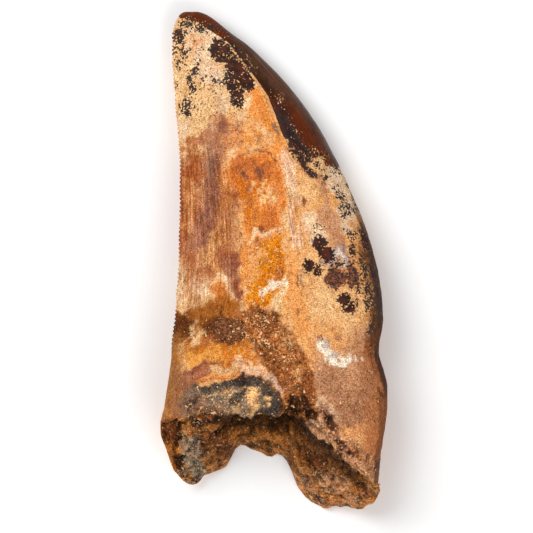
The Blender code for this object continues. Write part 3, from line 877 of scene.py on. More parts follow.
def paint_root_band(coat):
    """The umber band, and the layers below it down to the break."""
    coat.paint(
        coat.area([
            (-16, -6.6), (-11, -6.8), (-8, -6.0), (-3, -7.6), (1.5, -7), (3, -14), (2, -23), (-17, -23),
        ]),
        "orange_tan", 1.0, 0.8, 0.5,
    )
    coat.spots("gold", 0.8, 0.8, 0.7, (-8.4, -12.8, 5.4, 2.2, 6))
    coat.spots(
        "yellow_orange", 0.8, 0.9, 0.5,
        (-5.2, -12.0, 2.8, 1.7), (-9.9, -11.9, 1.6, 0.7, 10), (-3.2, -13.0, 1.2, 1.1),
    )
    coat.spots(
        "amber", 0.6, 0.7, 0.5,
        (-4.6, -12.2, 1.3, 0.8, -8), (-12.9, -9.0, 0.8, 1.6), (-8.8, -7.2, 1.6, 0.9),
    )
    coat.spots("amber_brown", 0.8, 0.6, 0.5, (-13.6, -12.6, 1.2, 4.0, 6), (-11.0, -12.0, 0.9, 0.7))
    coat.paint(
        coat.area([(-14.6, -6.4), (-3.0, -6.4), (-2.4, -11.4), (-9, -11.6), (-14.6, -12.4)]),
        "amber_brown", 0.85, 0.9, 0.6,
    )
    coat.spots("umber", 0.95, 0.8, 0.6, (-12.3, -9.4, 1.9, 1.9, -10), (-12.6, -7.6, 1.3, 1.0))
    coat.spots(
        "umber", 0.95, 0.8, 0.5,
        (-6.9, -9.5, 2.3, 1.8), (-4.4, -9.2, 1.6, 1.5), (-8.9, -8.6, 1.2, 1.2),
    )
    coat.spots("brown_shade", 0.4, 0.9, 0.5, (-6.6, -9.6, 2.0, 1.4), (-4.6, -9.0, 1.0, 0.8))
    coat.spots(
        "rust", 0.7, 0.6, 0.4,
        (-8.9, -10.6, 1.1, 1.2), (-4.6, -7.4, 1.4, 0.6), (-10.4, -10.4, 0.5, 1.0, -30),
    )
    coat.strokes(
        "sand", 0.75, 0.9, 0.2,
        (0.7, (-9.8, -9.2), (-10.3, -10.4), (-11.0, -11.8)),
        (0.4, (-10.6, -8.8), (-11.8, -11.0), (-12.3, -12.4)),
    )
    coat.strokes(
        "cream", 0.85, 0.5, 0.12,
        (0.5, (-3.2, -13.6), (-2.4, -14.6), (-1.8, -14.2)), (0.3, (-5.6, -13.0), (-4.6, -13.6)),
    )
    coat.spots("olive", 0.55, 0.6, 0.5, (-12.9, -13.6, 1.0, 1.4, 15), (-13.4, -17.4, 0.9, 2.4, 10))
    coat.spots("sand", 0.35, 0.8, 0.4, (-11.6, -14.6, 1.2, 1.4, 20))
    coat.spots("bone_brown", 0.9, 0.7, 0.5, (-14.5, -16.6, 1.7, 5.6, 10))
    coat.strokes(
        "red_rust", 0.7, 0.9, 0.4,
        (1.3, (-13.2, -19.0), (-12.0, -16.6), (-10.2, -15.0), (-8.2, -14.4), (-4.6, -14.5)),
        (0.9, (-12.3, -19.2), (-10.6, -17.0), (-8.6, -15.6), (-6.2, -15.1)),
    )
    coat.spots("red_mauve", 0.8, 0.9, 0.4, (-10.2, -15.4, 2.4, 1.0, 35), (-11.8, -17.2, 0.9, 1.6, -15))
    coat.spots("red_mauve", 0.85, 0.5, 0.3, (-10.2, -15.3, 2.0, 1.0, 35))
    coat.spots("sand", 0.7, 0.7, 0.2, (-7.0, -14.6, 1.6, 0.4, 5))
    coat.strokes(
        "rust", 0.7, 0.4, 0.2,
        (0.5, (-13.0, -20.0), (-12.2, -17.6), (-10.6, -15.6), (-8.6, -14.4)),
    )
    coat.strokes("mauve", 0.5, 0.5, 0.3, (0.9, (-12.4, -18.4), (-11.2, -16.2), (-9.2, -15.0)))
    coat.strokes("orange", 0.8, 0.3, 0.15, (0.35, (-10.2, -16.4), (-8.0, -15.4), (-5.4, -14.9)))
    coat.strokes(
        "rose_tan", 0.95, 0.9, 0.35,
        (1.8, (-3.6, -14.7), (-1.2, -15.4), (0.4, -16.4), (1.3, -17.6)),
    )
    coat.spots("lilac_grey", 0.6, 0.7, 0.2, (0.0, -16.2, 0.6, 0.3, -40), (0.9, -17.2, 0.6, 0.3, -50))
    coat.spots("olive_brown", 0.7, 0.6, 0.6, (-13.6, -18.4, 1.0, 2.6, 10), (-13.4, -11.6, 0.8, 1.2))
    coat.spots(
        "brown_shade", 0.55, 0.6, 0.6,
        (-12.8, -19.6, 1.6, 1.8), (-12.2, -16.2, 1.4, 2.4, 20), (-14.0, -15.0, 0.7, 4.0, 12),
    )
    coat.strokes("olive_brown", 0.45, 0.5, 0.4, (1.6, (-14.0, -10.5), (-14.2, -14.5), (-14.9, -20.5)))
    coat.amount("grit", coat.oval(-6.3, -9.3, 3.6, 1.9), 0.8)
    coat.amount("grit", coat.oval(-12.2, -9.2, 1.6, 1.6), 0.5)
    coat.amount("fleck", coat.oval(-5.6, -9.4, 4.4, 1.9), 0.28)
    coat.amount("vein", coat.area([(-6.5, -11.4), (-2.4, -11.6), (-1.8, -14.6), (-5.6, -13.8)]), 0.4)


ROCK = [
    (-3.9, -6.9), (-2.6, -5.9), (-0.4, -6.6), (1.2, -8.4), (1.4, -9.5), (2.9, -10.4), (4.3, -13.0),
    (5.2, -16.0), (5.8, -18.6), (6.0, -20.2), (5.0, -22.6), (1.2, -22.6), (1.2, -19.0), (1.4, -17.4),
    (-0.4, -15.3), (-1.6, -13.5), (-3.2, -11.2),
]
WORN = [
    (-12.9, -20.2), (-12.0, -18.9), (-10.6, -17.6), (-8.5, -16.7), (-5.5, -15.9), (-3.7, -15.5),
    (-1.9, -16.3), (-0.4, -17.6), (0.6, -19.0), (1.0, -20.4), (0.5, -22.6), (-12.0, -22.6),
]


def paint_rock(coat):
    """The brown grainy rock that still sticks to the root, and the dark pits at its foot in painted shadow.
    """
    rock = coat.area(ROCK)
    coat.paint(rock, "matrix", 0.97, 0.5, 0.15)
    coat.spots(
        "rust", 0.6, 0.8, 0.5,
        (4.6, -16.4, 0.6, 2.0, 10), (-1.6, -8.6, 1.2, 1.0), (-0.4, -10.6, 1.2, 1.0),
    )
    coat.spots("cream_orange", 0.35, 1.1, 0.4, (1.6, -11.4, 1.2, 0.8), (3.2, -15.8, 0.7, 1.2))
    coat.spots(
        "umber", 0.55, 0.9, 0.4,
        (-0.6, -12.4, 1.0, 1.2), (-2.4, -7.0, 1.0, 0.8), (4.4, -17.4, 0.8, 1.6), (0.4, -14.4, 0.9, 0.7),
        (-0.8, -8.4, 1.8, 1.2),
    )
    pits = [(3.6, -19.7, 2.2, 1.1), (2.0, -20.7, 1.2, 0.8), (5.2, -21.0, 0.7, 0.8)]
    # The pits darkened with near-black painted shadow.
    coat.spots("recess_shadow", 0.8, 1.1, 0.2, *pits)
    for pit in pits:
        coat.raise_by(coat.oval(*pit), -0.35, ragged=0.8)
        coat.amount("broken", coat.oval(*pit), 1.0)
    coat.amount("grit", rock, 0.7, ragged=0.5)
    coat.amount(
        "fleck",
        coat.area([(-4.4, -7.4), (-1, -6.2), (2.6, -10), (3.4, -14), (1.4, -15), (-2.4, -12), (-4.6, -11)]),
        0.44,
    )
    coat.amount("fleck", rock, 0.26, ragged=0.5)
    coat.amount("broken", rock, 0.55, ragged=0.3)
    coat.raise_by(rock, -0.16, ragged=0.25, soft=0.12)


def paint_worn(coat):
    """The grey eroded arc above the break, with its black rim and cream patches."""
    worn = coat.area(WORN)
    coat.paint(worn, "grey_tan", 0.95, 0.5, 0.15)
    coat.spots(
        "sand", 0.5, 1.0, 0.15,
        (-8.8, -18.4, 1.6, 0.4, 15), (-5.8, -18.2, 1.2, 0.7), (-6.0, -20.4, 0.8, 0.3),
    )
    coat.spots("grey", 0.8, 0.6, 0.4, (-11.2, -18.8, 1.8, 1.2, 30))
    coat.spots("brown_shade", 0.6, 0.9, 0.4, (-10.8, -19.8, 2.2, 1.0, 20), (-8.4, -20.4, 1.6, 0.8))
    coat.strokes(
        "grey_black", 0.8, 0.8, 0.25,
        (1.1, (-9.6, -17.9), (-6.4, -16.8), (-3.6, -16.4)),
        (1.9, (-4.8, -16.7), (-2.2, -16.9), (-0.4, -18.2), (0.2, -19.6)),
        (1.6, (-1.6, -20.6), (0.3, -20.6)), (1.0, (-6.0, -19.0), (-4.4, -18.2)),
        (0.5, (-12.0, -20.0), (-10.8, -19.2)),
    )
    coat.strokes(
        "umber", 0.8, 0.4, 0.12,
        (0.3, (-5.8, -16.1), (-3.7, -15.8), (-2.0, -16.6), (-0.7, -17.6)),
    )
    coat.waver(False)
    coat.spots(
        "cream_orange", 0.9, 1.0, 0.15,
        (-3.1, -18.7, 0.7, 1.0, 10), (-2.7, -20.0, 0.5, 0.6), (-2.9, -17.4, 0.8, 0.3, 10),
    )
    coat.spots(
        "cream_orange", 0.9, 0.3, 0.12,
        (-0.9, -18.8, 0.35, 0.2), (-0.7, -19.6, 0.2, 0.25), (-1.8, -20.9, 0.5, 0.2),
    )
    coat.spots("orange_tan", 0.7, 0.6, 0.2, (-6.1, -17.9, 0.8, 0.35, 10), (-4.6, -17.6, 0.4, 0.2))
    coat.waver(True)
    coat.strokes(
        "cream_orange", 0.85, 0.5, 0.12,
        (0.4, (-3.6, -20.9), (-2.2, -21.3), (-1.0, -21.0)), (0.3, (-9.8, -16.9), (-7.4, -16.3)),
    )
    coat.strokes("umber", 0.9, 0.4, 0.15, (0.6, (0.8, -18.6), (1.0, -19.6), (0.8, -21.4)))
    coat.amount("broken", worn, 0.5, ragged=0.3)
    coat.amount("grit", worn, 0.45, ragged=0.3)
    coat.amount(
        "fleck",
        coat.area([(-12.4, -20.6), (-10, -18.0), (-6, -17.6), (-3.4, -19), (-3.6, -22), (-12, -22)]),
        0.42,
    )
    coat.amount("fleck", worn, 0.22)
    coat.raise_by(worn, -0.2, ragged=0.3, soft=0.1)


BLACK_PATCH = [
    (-8.2, 30.6), (-6.3, 30.1), (-5.0, 29.1), (-3.8, 27.6), (-2.8, 26.0), (-2.4, 24.6), (-2.9, 23.6),
    (-4.1, 22.6), (-4.0, 21.7), (-4.4, 20.5), (-6.0, 21.2), (-5.8, 22.3), (-6.4, 23.2), (-6.6, 24.6),
    (-6.4, 26.0), (-6.9, 27.1), (-7.9, 26.9), (-8.8, 27.9), (-8.9, 28.5),
]
DARK_LOBE = [
    (0.6, 20.0), (2.4, 18.6), (4.4, 16.0), (5.6, 14.2), (4.6, 13.2), (6.2, 11.2), (5.9, 10.9),
    (4.6, 11.8), (3.7, 13.0), (2.7, 14.0), (1.9, 15.4), (1.3, 17.2),
]
# How thickly black is sown in an oval, and then its place, half sizes and perhaps its turn
STAINS = [
    (0.72, -12.75, 30.6, 0.85, 1.4), (0.66, -12.3, 28.4, 0.6, 0.9), (0.68, -13.3, 28.7, 0.5, 1.0),
    (0.64, -13.0, 26.9, 0.6, 0.9), (0.5, -11.25, 28.7, 0.35, 0.6), (0.7, -10.5, 26.3, 0.6, 1.2, -25),
    (0.64, -11.3, 25.0, 0.5, 0.6), (0.72, -11.0, 23.8, 0.6, 0.75), (0.6, -9.5, 24.9, 0.4, 0.8, -20),
    (0.58, -7.7, 24.3, 1.1, 0.6), (0.5, -8.0, 22.9, 0.5, 0.45), (0.58, -11.2, 22.5, 0.65, 0.45),
    (0.48, -13.1, 24.2, 0.3, 0.6), (0.64, -12.0, 20.9, 0.9, 1.5), (0.76, -11.7, 19.9, 0.6, 0.8),
    (0.44, -10.5, 20.8, 0.8, 0.6), (0.7, -11.8, 32.0, 0.8, 0.5, 20), (0.74, -9.9, 31.7, 1.6, 0.35, -25),
    (0.66, -8.9, 30.9, 0.6, 0.4, -25), (0.7, 7.1, 11.2, 0.55, 0.75), (0.74, 8.2, 13.2, 1.4, 0.9, -40),
    (0.66, 7.2, 14.2, 1.2, 0.7, -40), (0.72, -12.3, 32.4, 0.9, 0.7), (0.6, 6.0, 13.0, 0.9, 0.5, -40),
    (0.5, 8.2, 12.0, 1.0, 0.5, -30), (0.66, 8.6, 10.1, 0.5, 0.5), (0.58, 8.7, 9.2, 0.4, 0.35),
    (0.74, 9.3, 8.6, 0.85, 0.6, -10), (0.66, 9.9, 7.2, 0.9, 1.1, 20), (0.66, 11.0, 6.9, 0.5, 0.4),
    (0.6, 9.7, 5.9, 0.4, 0.4), (0.7, 9.1, 12.3, 0.35, 0.9, -20), (0.78, 10.1, 10.4, 0.35, 1.0, 25),
    (0.8, 11.0, 8.2, 0.4, 1.6, 25), (0.62, 11.7, 6.3, 0.3, 0.5), (0.6, 10.6, 3.6, 0.7, 1.0, 10),
    (0.66, 12.2, 4.2, 0.5, 1.2, 10), (0.95, 4.9, -0.8, 1.0, 0.85), (0.9, 6.0, -1.5, 0.7, 0.9),
    (0.97, 6.3, 2.3, 0.95, 1.2, 20), (0.97, 7.2, 0.9, 1.1, 1.2, 20), (0.66, 8.8, -0.2, 1.0, 0.7),
    (0.48, 8.6, -2.5, 1.7, 1.7), (0.5, 10.9, -2.0, 1.2, 2.2), (0.7, 10.8, 1.2, 0.7, 1.2),
    (0.93, 9.6, -5.2, 1.1, 1.0), (0.84, 10.3, -6.3, 1.2, 0.9, -20), (0.66, 11.4, -4.0, 0.6, 1.6),
    (0.66, 12.2, -1.0, 0.7, 2.8, 10), (0.46, 5.0, 2.2, 0.6, 0.5), (0.4, 6.0, 4.2, 0.9, 1.0),
    (0.46, 8.6, -10.4, 0.6, 0.4), (0.44, 6.5, -10.4, 0.5, 0.5), (0.44, 13.6, -21.6, 0.7, 0.6),
    (0.48, 12.2, -29.6, 0.8, 0.4), (0.8, 11.1, 7.8, 0.4, 1.3, 25), (0.84, 12.5, 2.7, 0.6, 2.4, 15),
    (0.76, 13.5, -1.6, 0.7, 2.0, 15), (0.74, 14.2, -5.2, 0.6, 3.0, 8), (0.66, 13.0, -5.0, 0.9, 3.0, 8),
    (0.55, 13.4, -9.0, 0.7, 2.0),
]


def paint_stains(coat):
    """The black and purple-brown mineral stains: how thickly they are sown at each place."""
    coat.waver(False)
    coat.amount("black", coat.area(BLACK_PATCH), 0.78, ragged=0.5, soft=0.35)
    coat.amount(
        "black", coat.band([(-5.2, 26.6), (-4.0, 24.6), (-3.6, 23.9)], 1.9), 0.93, ragged=0.4, soft=0.4,
    )
    coat.spots("plum", 0.95, 0.9, 0.2, (8.6, -2.6, 1.4, 1.4), (10.9, -2.2, 1.0, 1.9))
    coat.paint(coat.area(DARK_LOBE), "dark_mauve", 0.6, 0.6, 0.4)
    coat.amount("black", coat.area(DARK_LOBE), 0.74, ragged=0.6, soft=0.5)
    for density, *oval in STAINS:
        coat.amount("black", coat.oval(*oval), density, ragged=0.5, soft=0.5)
    coat.spots(
        "chalk", 0.88, 1.2, 0.25,
        (7.1, -11.9, 0.85, 0.8, 20), (8.0, -13.1, 1.2, 0.65, -15), (9.9, -13.5, 1.4, 0.4, 8),
        (6.4, -10.9, 0.4, 0.35),
    )
    coat.spots("lilac_grey", 0.7, 0.8, 0.2, (7.3, -11.4, 0.5, 0.6), (8.4, -12.9, 0.6, 0.3))
    coat.spots("grey", 0.8, 0.4, 0.2, (0.5, 17.9, 0.55, 1.1, 20), (-0.6, 21.6, 0.35, 1.0, 20))
    coat.spots(
        "mauve", 0.75, 0.5, 0.2,
        (6.2, -10.6, 0.4, 0.4), (8.6, -10.6, 0.5, 0.35), (8.0, -9.3, 0.4, 0.3),
    )
    coat.waver(True)


ENAMEL_FLECKS = [
    (0.58, 2.7, 17.9, 0.9, 2.4, 30), (0.5, 0.9, 21.8, 0.6, 1.8, 25), (0.62, 5.4, 14.4, 2.4, 1.2, -30),
    (0.62, -6.6, 28.7, 2.0, 1.4, -30), (0.5, -4.4, 26.0, 1.6, 2.2, -30), (0.6, -10.6, 32.2, 2.6, 0.7, -8),
]
CAP_LINE = [(-14.0, 33.9), (-12.4, 33.0), (-11.0, 32.7), (-10.0, 32.3), (-8.8, 31.5), (-8.0, 31.2)]


def enamel_places(coat):
    """How far beyond the enamel's line each point lies, and where its strip and its cap are."""
    gap, side = to_line(coat.x, coat.y, ENAMEL_LINE)
    beyond = gap * side
    below = coat.y - ENAMEL_END_Y - 0.7 * (7.0 - coat.x) * (coat.x < 7.0) + 0.7 * coat.rag
    strip = ramp(-0.12, 0.12, beyond) * ramp(-0.9, 0.9, below)
    chipped = coat.area([(5.7, 14.2), (6.6, 14.0), (7.0, 13.2), (6.2, 12.4), (5.2, 13.0)])
    strip = strip * (1 - 0.8 * ramp(-0.4, 0.4, chipped + 0.5 * coat.rag))
    over, cap_side = to_line(coat.x, coat.y, CAP_LINE)
    cap = ramp(-0.35, 0.35, over * cap_side + 0.35 * coat.rag) * (coat.y > 30.4)
    return beyond, strip, cap


def tint_enamel(coat, beyond, near):
    """The enamel's own colours, purple beside its line and dark red, and a paler painted sheen in front."""

    def tinge(amount, colour):
        coat.enamel_tint += np.clip(amount, 0, 1)[:, None] * (linear(PALETTE[colour]) - coat.enamel_tint)

    tinge(0.9 * near * ramp(23.0, 20.0, coat.y), "purple_black")
    dark = ramp(1.9, 0.9, beyond + 0.25 * coat.rag) * ramp(21.0, 23.5, coat.y)
    tinge(0.95 * dark * ramp(31.0, 29.0, coat.y), "enamel_dark")
    # A paler band along the front edge: painted sheen, a painted reflection of the white surroundings.
    out = 0.72 * coat.front_gap + 0.25 * coat.rag
    width = np.interp(coat.y, [13.0, 17.0, 21.0, 25.0, 28.0, 31.0], [0.5, 0.7, 1.2, 2.0, 1.8, 0.6])
    tinge(0.85 * ramp(1.25, 0.6, out / width) * ramp(31.6, 30.0, coat.y), "sheen")
    # Darker towards the front edge below y 16.5: stain and painted shade.
    tinge(0.5 * ramp(16.5, 14.0, coat.y) * ramp(1.6, 0.6, coat.front_gap), "edge_stain_and_shade")
    tinge(0.7 * np.clip(0.3 + 1.3 * coat.rag, 0, 1), "enamel_dark")


def paint_enamel(coat):
    """The glossy enamel left on the front edge and over the tip, a little proud of the rest."""
    beyond, strip, cap = enamel_places(coat)
    near = ramp(2.6, 1.0, beyond + 0.3 * coat.rag + 0.5 * coat.streaks)
    tint_enamel(coat, beyond, near)
    cover = np.maximum(strip, cap * (coat.x < -7.6)) * coat.seen
    coat.enamel = np.maximum(coat.enamel, cover)
    coat.streak = np.maximum(coat.streak, strip * (0.45 + 0.45 * near))
    for density, *oval in ENAMEL_FLECKS:
        coat.amount("fleck", coat.oval(*oval), density)
    coat.amount("black", coat.oval(-10.2, 31.9, 2.8, 0.9, -12), 0.66)
    coat.amount("fleck", coat.band([(-8.4, 31.4), (-4.6, 28.4), (-2.6, 25.6)], 0.9), 0.45)
    coat.black = coat.black * (1 - strip * ramp(1.4, 2.2, beyond))
    coat.relief += ENAMEL_HEIGHT * cover * ramp(0.0, 0.4, np.where(cap > strip, 1.0, beyond))
    # A thin orange line just outside the enamel's border: its colour, and a painted highlight where light
    # catches the step.
    lip_line_and_highlight = ramp(-0.42, -0.3, beyond + 0.1 * coat.rag) * ramp(0.05, -0.05, beyond) * coat.upper
    faint = 0.8 - 0.45 * ramp(22.0, 25.0, coat.y)
    coat.mix(faint * lip_line_and_highlight * ramp(12.0, 16.0, coat.y) * ramp(30.0, 28.5, coat.y), "orange_tan")
    coat.black = coat.black * (1 - 0.35 * lip_line_and_highlight * ramp(22.0, 24.0, coat.y) * ramp(30.0, 28.5, coat.y))


def paint_break(coat):
    """The broken root end: brown grainy bone, almost black inside the hollow with painted shadow."""
    coat.waver(False)
    coat.tint = np.where(coat.cap[:, None] > 0.5, linear(PALETTE["bone_brown"]), coat.tint)
    where = coat.cap

    def dab(colour, strength, ragged, soft, *ovals):
        coat.spots(colour, strength, ragged, soft, *ovals, where=where)

    dab(
        "olive_brown", 0.8, 0.8, 0.5,
        (-8.4, -25.6, 2.2, 2.2), (-9.6, -29.2, 1.0, 0.9), (2.0, -26.4, 1.4, 1.6), (-3.4, -25.2, 3.6, 0.7),
    )
    dab("umber", 0.75, 1.0, 0.6, (-9.0, -24.3, 2.6, 1.7, -10), (-6.6, -25.6, 1.4, 1.4))
    dab("umber", 0.7, 0.6, 0.25, (-1.6, -25.4, 1.4, 0.3), (2.6, -27.6, 0.9, 0.9), (-7.4, -27.6, 0.5, 0.9))
    dab("leg_grey", 0.85, 0.8, 0.4, (-11.2, -26.2, 1.5, 2.4, 10), (-10.4, -28.4, 1.2, 1.2))
    dab(
        "amber_brown", 0.9, 0.5, 0.3,
        (-14.3, -26.6, 1.3, 3.4), (-13.0, -29.4, 1.3, 1.8, 30), (8.6, -31.8, 4.6, 1.2),
    )
    # Near-black painted shadow in the channel and pits of the rear leg.
    dab(
        "recess_shadow", 0.9, 0.7, 0.2,
        (-12.7, -27.6, 0.55, 2.4, 18), (-13.2, -25.0, 0.5, 0.9), (-10.9, -29.9, 0.9, 0.45),
    )
    dab(
        "umber", 0.8, 0.8, 0.4,
        (6.2, -28.2, 1.2, 2.8, 38), (4.6, -26.4, 1.2, 1.6, 30), (12.6, -31.0, 1.6, 0.5, -38),
    )
    dab(
        "pink_brown", 0.55, 1.0, 0.5,
        (8.2, -30.6, 2.2, 1.3, -20), (4.4, -30.4, 0.8, 1.6, 30), (11.0, -32.6, 1.8, 0.7),
    )
    dab("enamel_red", 0.9, 0.3, 0.2, (6.2, -32.8, 0.7, 0.6, -30))
    # Painted shadow below the front wall's broken edge: near black in the hollow, and on the wall's inside
    # further right.
    front = curve(UPPER_BREAK, coat.x)
    below_front = front - coat.y
    under = ramp(3.0, 0.8, below_front + 1.1 * coat.rag)
    overhang_shadow = where * under * ramp(-8.8, -6.4, coat.x) * ramp(8.5, 4.0, coat.x)
    coat.mix(0.85 * overhang_shadow, "recess_shadow")
    rough_gap = below_front + 0.8 * coat.rag
    shaded = where * ramp(5.0, 1.9, rough_gap) * ramp(2.0, 5.0, coat.x) * ramp(13.5, 11.0, coat.x)
    coat.mix(0.85 * shaded, "recess_shadow")
    coat.mix(0.9 * where * ramp(1.1, 0.7, rough_gap) * ramp(4.0, 5.5, coat.x), "pink_brown")
    both = where + coat.upper
    # Painted shadow in the slot and the crevices under the front wall's broken edge; the rust rim and the
    # red knob are colour.
    coat.paint(coat.oval(-9.4, -21.7, 2.4, 0.9, 10), "recess_shadow", 0.92, 0.8, 0.25, where=both)
    coat.paint(coat.oval(-9.2, -21.3, 1.2, 0.25, 12), "rust", 0.8, 0.5, 0.15, where=both)
    coat.paint(coat.oval(-7.6, -23.4, 1.3, 0.3, 35), "recess_shadow", 0.85, 0.5, 0.15, where=where)
    coat.paint(coat.oval(-14.2, -22.9, 1.7, 1.5), "knob_red", 0.92, 0.5, 0.4, where=both)
    coat.paint(coat.oval(-12.6, -24.0, 1.0, 0.5, -30), "recess_shadow", 0.7, 0.7, 0.3, where=where)
    coat.broken = np.where(where > 0.5, 1.0, coat.broken)
    coat.grit = np.where(where > 0.5, 0.6, coat.grit)
    # On the broken end the flecks are painted glints: pale and grey-blue spots of light, fewer in painted
    # shadow.
    rear_leg = ramp(-9.0, -10.5, coat.x) * ramp(-13.5, -12.0, coat.x)
    glinting = 0.3 + 0.2 * ramp(-27.0, -29.5, coat.y) + 0.2 * rear_leg
    coat.fleck = np.where(where > 0.5, glinting * (1 - overhang_shadow) * (1 - 0.6 * shaded), coat.fleck)
    coat.waver(True)


LOWER_STAINS = [
    (0.6, -10, 25, 2, 3), (0.85, -6, 27, 1.6, 2.6, -20), (0.85, 6, 6, 1.4, 1.6), (0.9, 8, 1, 1.4, 2),
    (0.85, 3, -5, 1.0, 0.9), (0.6, -4, 17, 1.4, 2), (0.55, -10, 0, 1.2, 2), (0.6, 10, -10, 1.2, 2),
]


def paint_lower_side(coat):
    """The side that the tooth lies on: the same kinds of stains in another order."""
    where = coat.lower

    def dab(colour, strength, ragged, soft, *ovals, streaky=0.0):
        coat.spots(colour, strength, ragged, soft, *ovals, streaky=streaky, where=where)

    coat.paint(coat.oval(0, 0, 60, 60), "orange_tan", where=where)
    dab("sand", 0.9, 1.2, 1.0, (-6, 21, 6, 11), (6, 8, 4, 6))
    dab("pink_cream", 0.8, 1.2, 1.0, (-8, 26, 3, 5), (8, -4, 3, 5))
    dab("rust", 0.8, 1.2, 1.0, (-9, 6, 3, 9), (1, -2, 3, 6, 10), (-3, 14, 2, 3), streaky=0.8)
    dab("mauve", 0.8, 1.2, 1.0, (-6, 4, 2, 8), (3, 10, 1.4, 4), (-9, -6, 2, 4), streaky=0.9)
    dab("deep_orange", 0.8, 1.2, 1.0, (-1, 9, 2, 4), (4, 0, 1.6, 3))
    dab("amber", 0.8, 1.2, 1.0, (-3, -6, 2.4, 2), (2, 4, 1.2, 2))
    dab("pink_brown", 0.9, 1.2, 1.0, (8, -15, 6, 7), (11, -24, 3, 5))
    dab("umber", 0.85, 1.2, 1.0, (-9, -11, 4, 1.8), (-1, -12, 3, 1.5))
    dab("matrix", 0.9, 1.2, 1.0, (-8, -20, 5, 5), (0, -20, 4, 4))
    dab("chalk", 0.9, 0.8, 0.15, (5, -8, 1.2, 0.5, 20), (7, -9, 0.8, 0.5))
    for density, *oval in LOWER_STAINS:
        coat.amount("black", coat.oval(*oval), density, ragged=0.6, soft=0.5, where=where)
    rock = np.maximum(coat.oval(-8, -20, 5, 5), coat.oval(0, -20, 4, 4))
    for name, value in (("grit", 1.0), ("fleck", 0.5), ("broken", 0.45)):
        coat.amount(name, rock, value, ragged=0.8, where=where)
    coat.amount("vein", coat.oval(-2, 10, 4, 7), 0.6, where=where)
    coat.amount("grit", coat.oval(6, -12, 8, 12), 0.35, where=where)
    coat.streak = np.maximum(coat.streak, where * ramp(0.35, 0.1, coat.share) * ramp(-9, -3, coat.y) * 0.8)
    # The lower wall's front border darker towards the root: stain and painted shade.
    edge = where * ramp(2.2, 0.6, coat.front_gap + 0.5 * coat.rag)
    coat.mix(0.85 * edge * ramp(8.0, 4.0, coat.y), "edge_stain_and_shade")
    band = where * ramp(4.6, 3.2, coat.front_gap + 0.4 * coat.rag)
    band *= ramp(11.0, 13.5, coat.y + 0.5 * coat.rag)
    coat.enamel = np.maximum(coat.enamel, band)
    tip = where * ramp(30.6, 31.8, coat.y + 0.5 * coat.rag)
    coat.enamel = np.maximum(coat.enamel, tip)


PAINTERS = [
    paint_lower_side, paint_tip, paint_orange_field, paint_rear_band, paint_glow, paint_front_field,
    paint_root_band, paint_amber, paint_rock, paint_worn, paint_front_edge, paint_stains, paint_enamel,
    paint_break,
]


def add_relief(coat):
    """Saw teeth, growth wrinkles, dents, grains and rough broken places with painted shade and light."""
    on_wall = 1 - coat.cap
    from_edge = coat.share * GROWTH_SPAN
    phase = (coat.distance - SERRATED_FROM) / DENTICLE_PITCH
    in_pitch = np.abs((phase % 1.0) * 2 - 1)
    bump = DENTICLE_HEIGHT * (1 - in_pitch**3) - DENTICLE_SINK
    reach = ramp(0.9, 0.0, from_edge) * ramp(SERRATED_FROM, SERRATED_FROM + 2, coat.distance)
    reach = reach * ramp(SERRATED_TO, SERRATED_TO - 3, coat.distance) * on_wall
    coat.relief += bump * reach
    coat.relief += GROWTH_LINE_HEIGHT * coat.streaks * coat.streak
    coat.relief += DENT_HEIGHT * fuzz(coat.points, DENT_SIZE, 11.0) * on_wall
    bare = 1 - 0.8 * coat.enamel
    coat.relief += ROUGHNESS_HEIGHT * fuzz(coat.points, ROUGHNESS_SIZE, 12.0) * on_wall * bare
    grains = fuzz(coat.points, GRAIN_SIZE, 13.0, 3)
    lumps = fuzz(coat.points, LUMP_SIZE, 14.0)
    calm = np.where(coat.cap > 0.5, ramp(0.0, 0.35, coat.distance), 1.0)
    rough = coat.broken * calm
    coat.relief += GRAIN_HEIGHT * grains * rough
    coat.relief += (LUMP_HEIGHT * lumps + GRAIN_HEIGHT * grains) * rough * coat.cap
    # Painted shade in the low grains and lumps of broken places, and painted light on the high ones.
    hollow = np.clip(-1.6 * grains - 1.2 * lumps, 0, 1) * coat.broken
    proud = np.clip(1.6 * grains + 1.0 * lumps, 0, 1) * coat.broken
    coat.tint *= (1 - 0.7 * hollow)[:, None]
    coat.tint *= (1 + 0.75 * proud)[:, None]


def apply_relief(made, coat):
    """Moves the points of the mesh along their normals, and keeps them above the ground."""
    mesh = made.data
    normals = np.zeros(len(mesh.vertices) * 3, np.float32)
    mesh.vertex_normals.foreach_get("vector", normals)
    moved = coat.points + coat.relief[:, None] * normals.reshape(-1, 3)
    low, high = (np.array(corner) / MM for corner in CAD_BOX)
    moved = np.clip(moved, low, high)
    mesh.vertices.foreach_set("co", (moved * MM).astype(np.float32).ravel())
    mesh.update()


def store(made, coat):
    """Writes the colour and the amounts to the mesh, for the material to read."""
    attributes = made.data.attributes
    vectors = {"tint": coat.tint, "enamel_tint": coat.enamel_tint, "growth": coat.growth}
    for name, values in vectors.items():
        made_for = attributes.new(name, "FLOAT_VECTOR", "POINT")
        made_for.data.foreach_set("vector", values.astype(np.float32).ravel())
    for name in Coat.AMOUNTS:
        values = np.clip(getattr(coat, name), 0, 1).astype(np.float32)
        attributes.new(name, "FLOAT", "POINT").data.foreach_set("value", values)


# The material


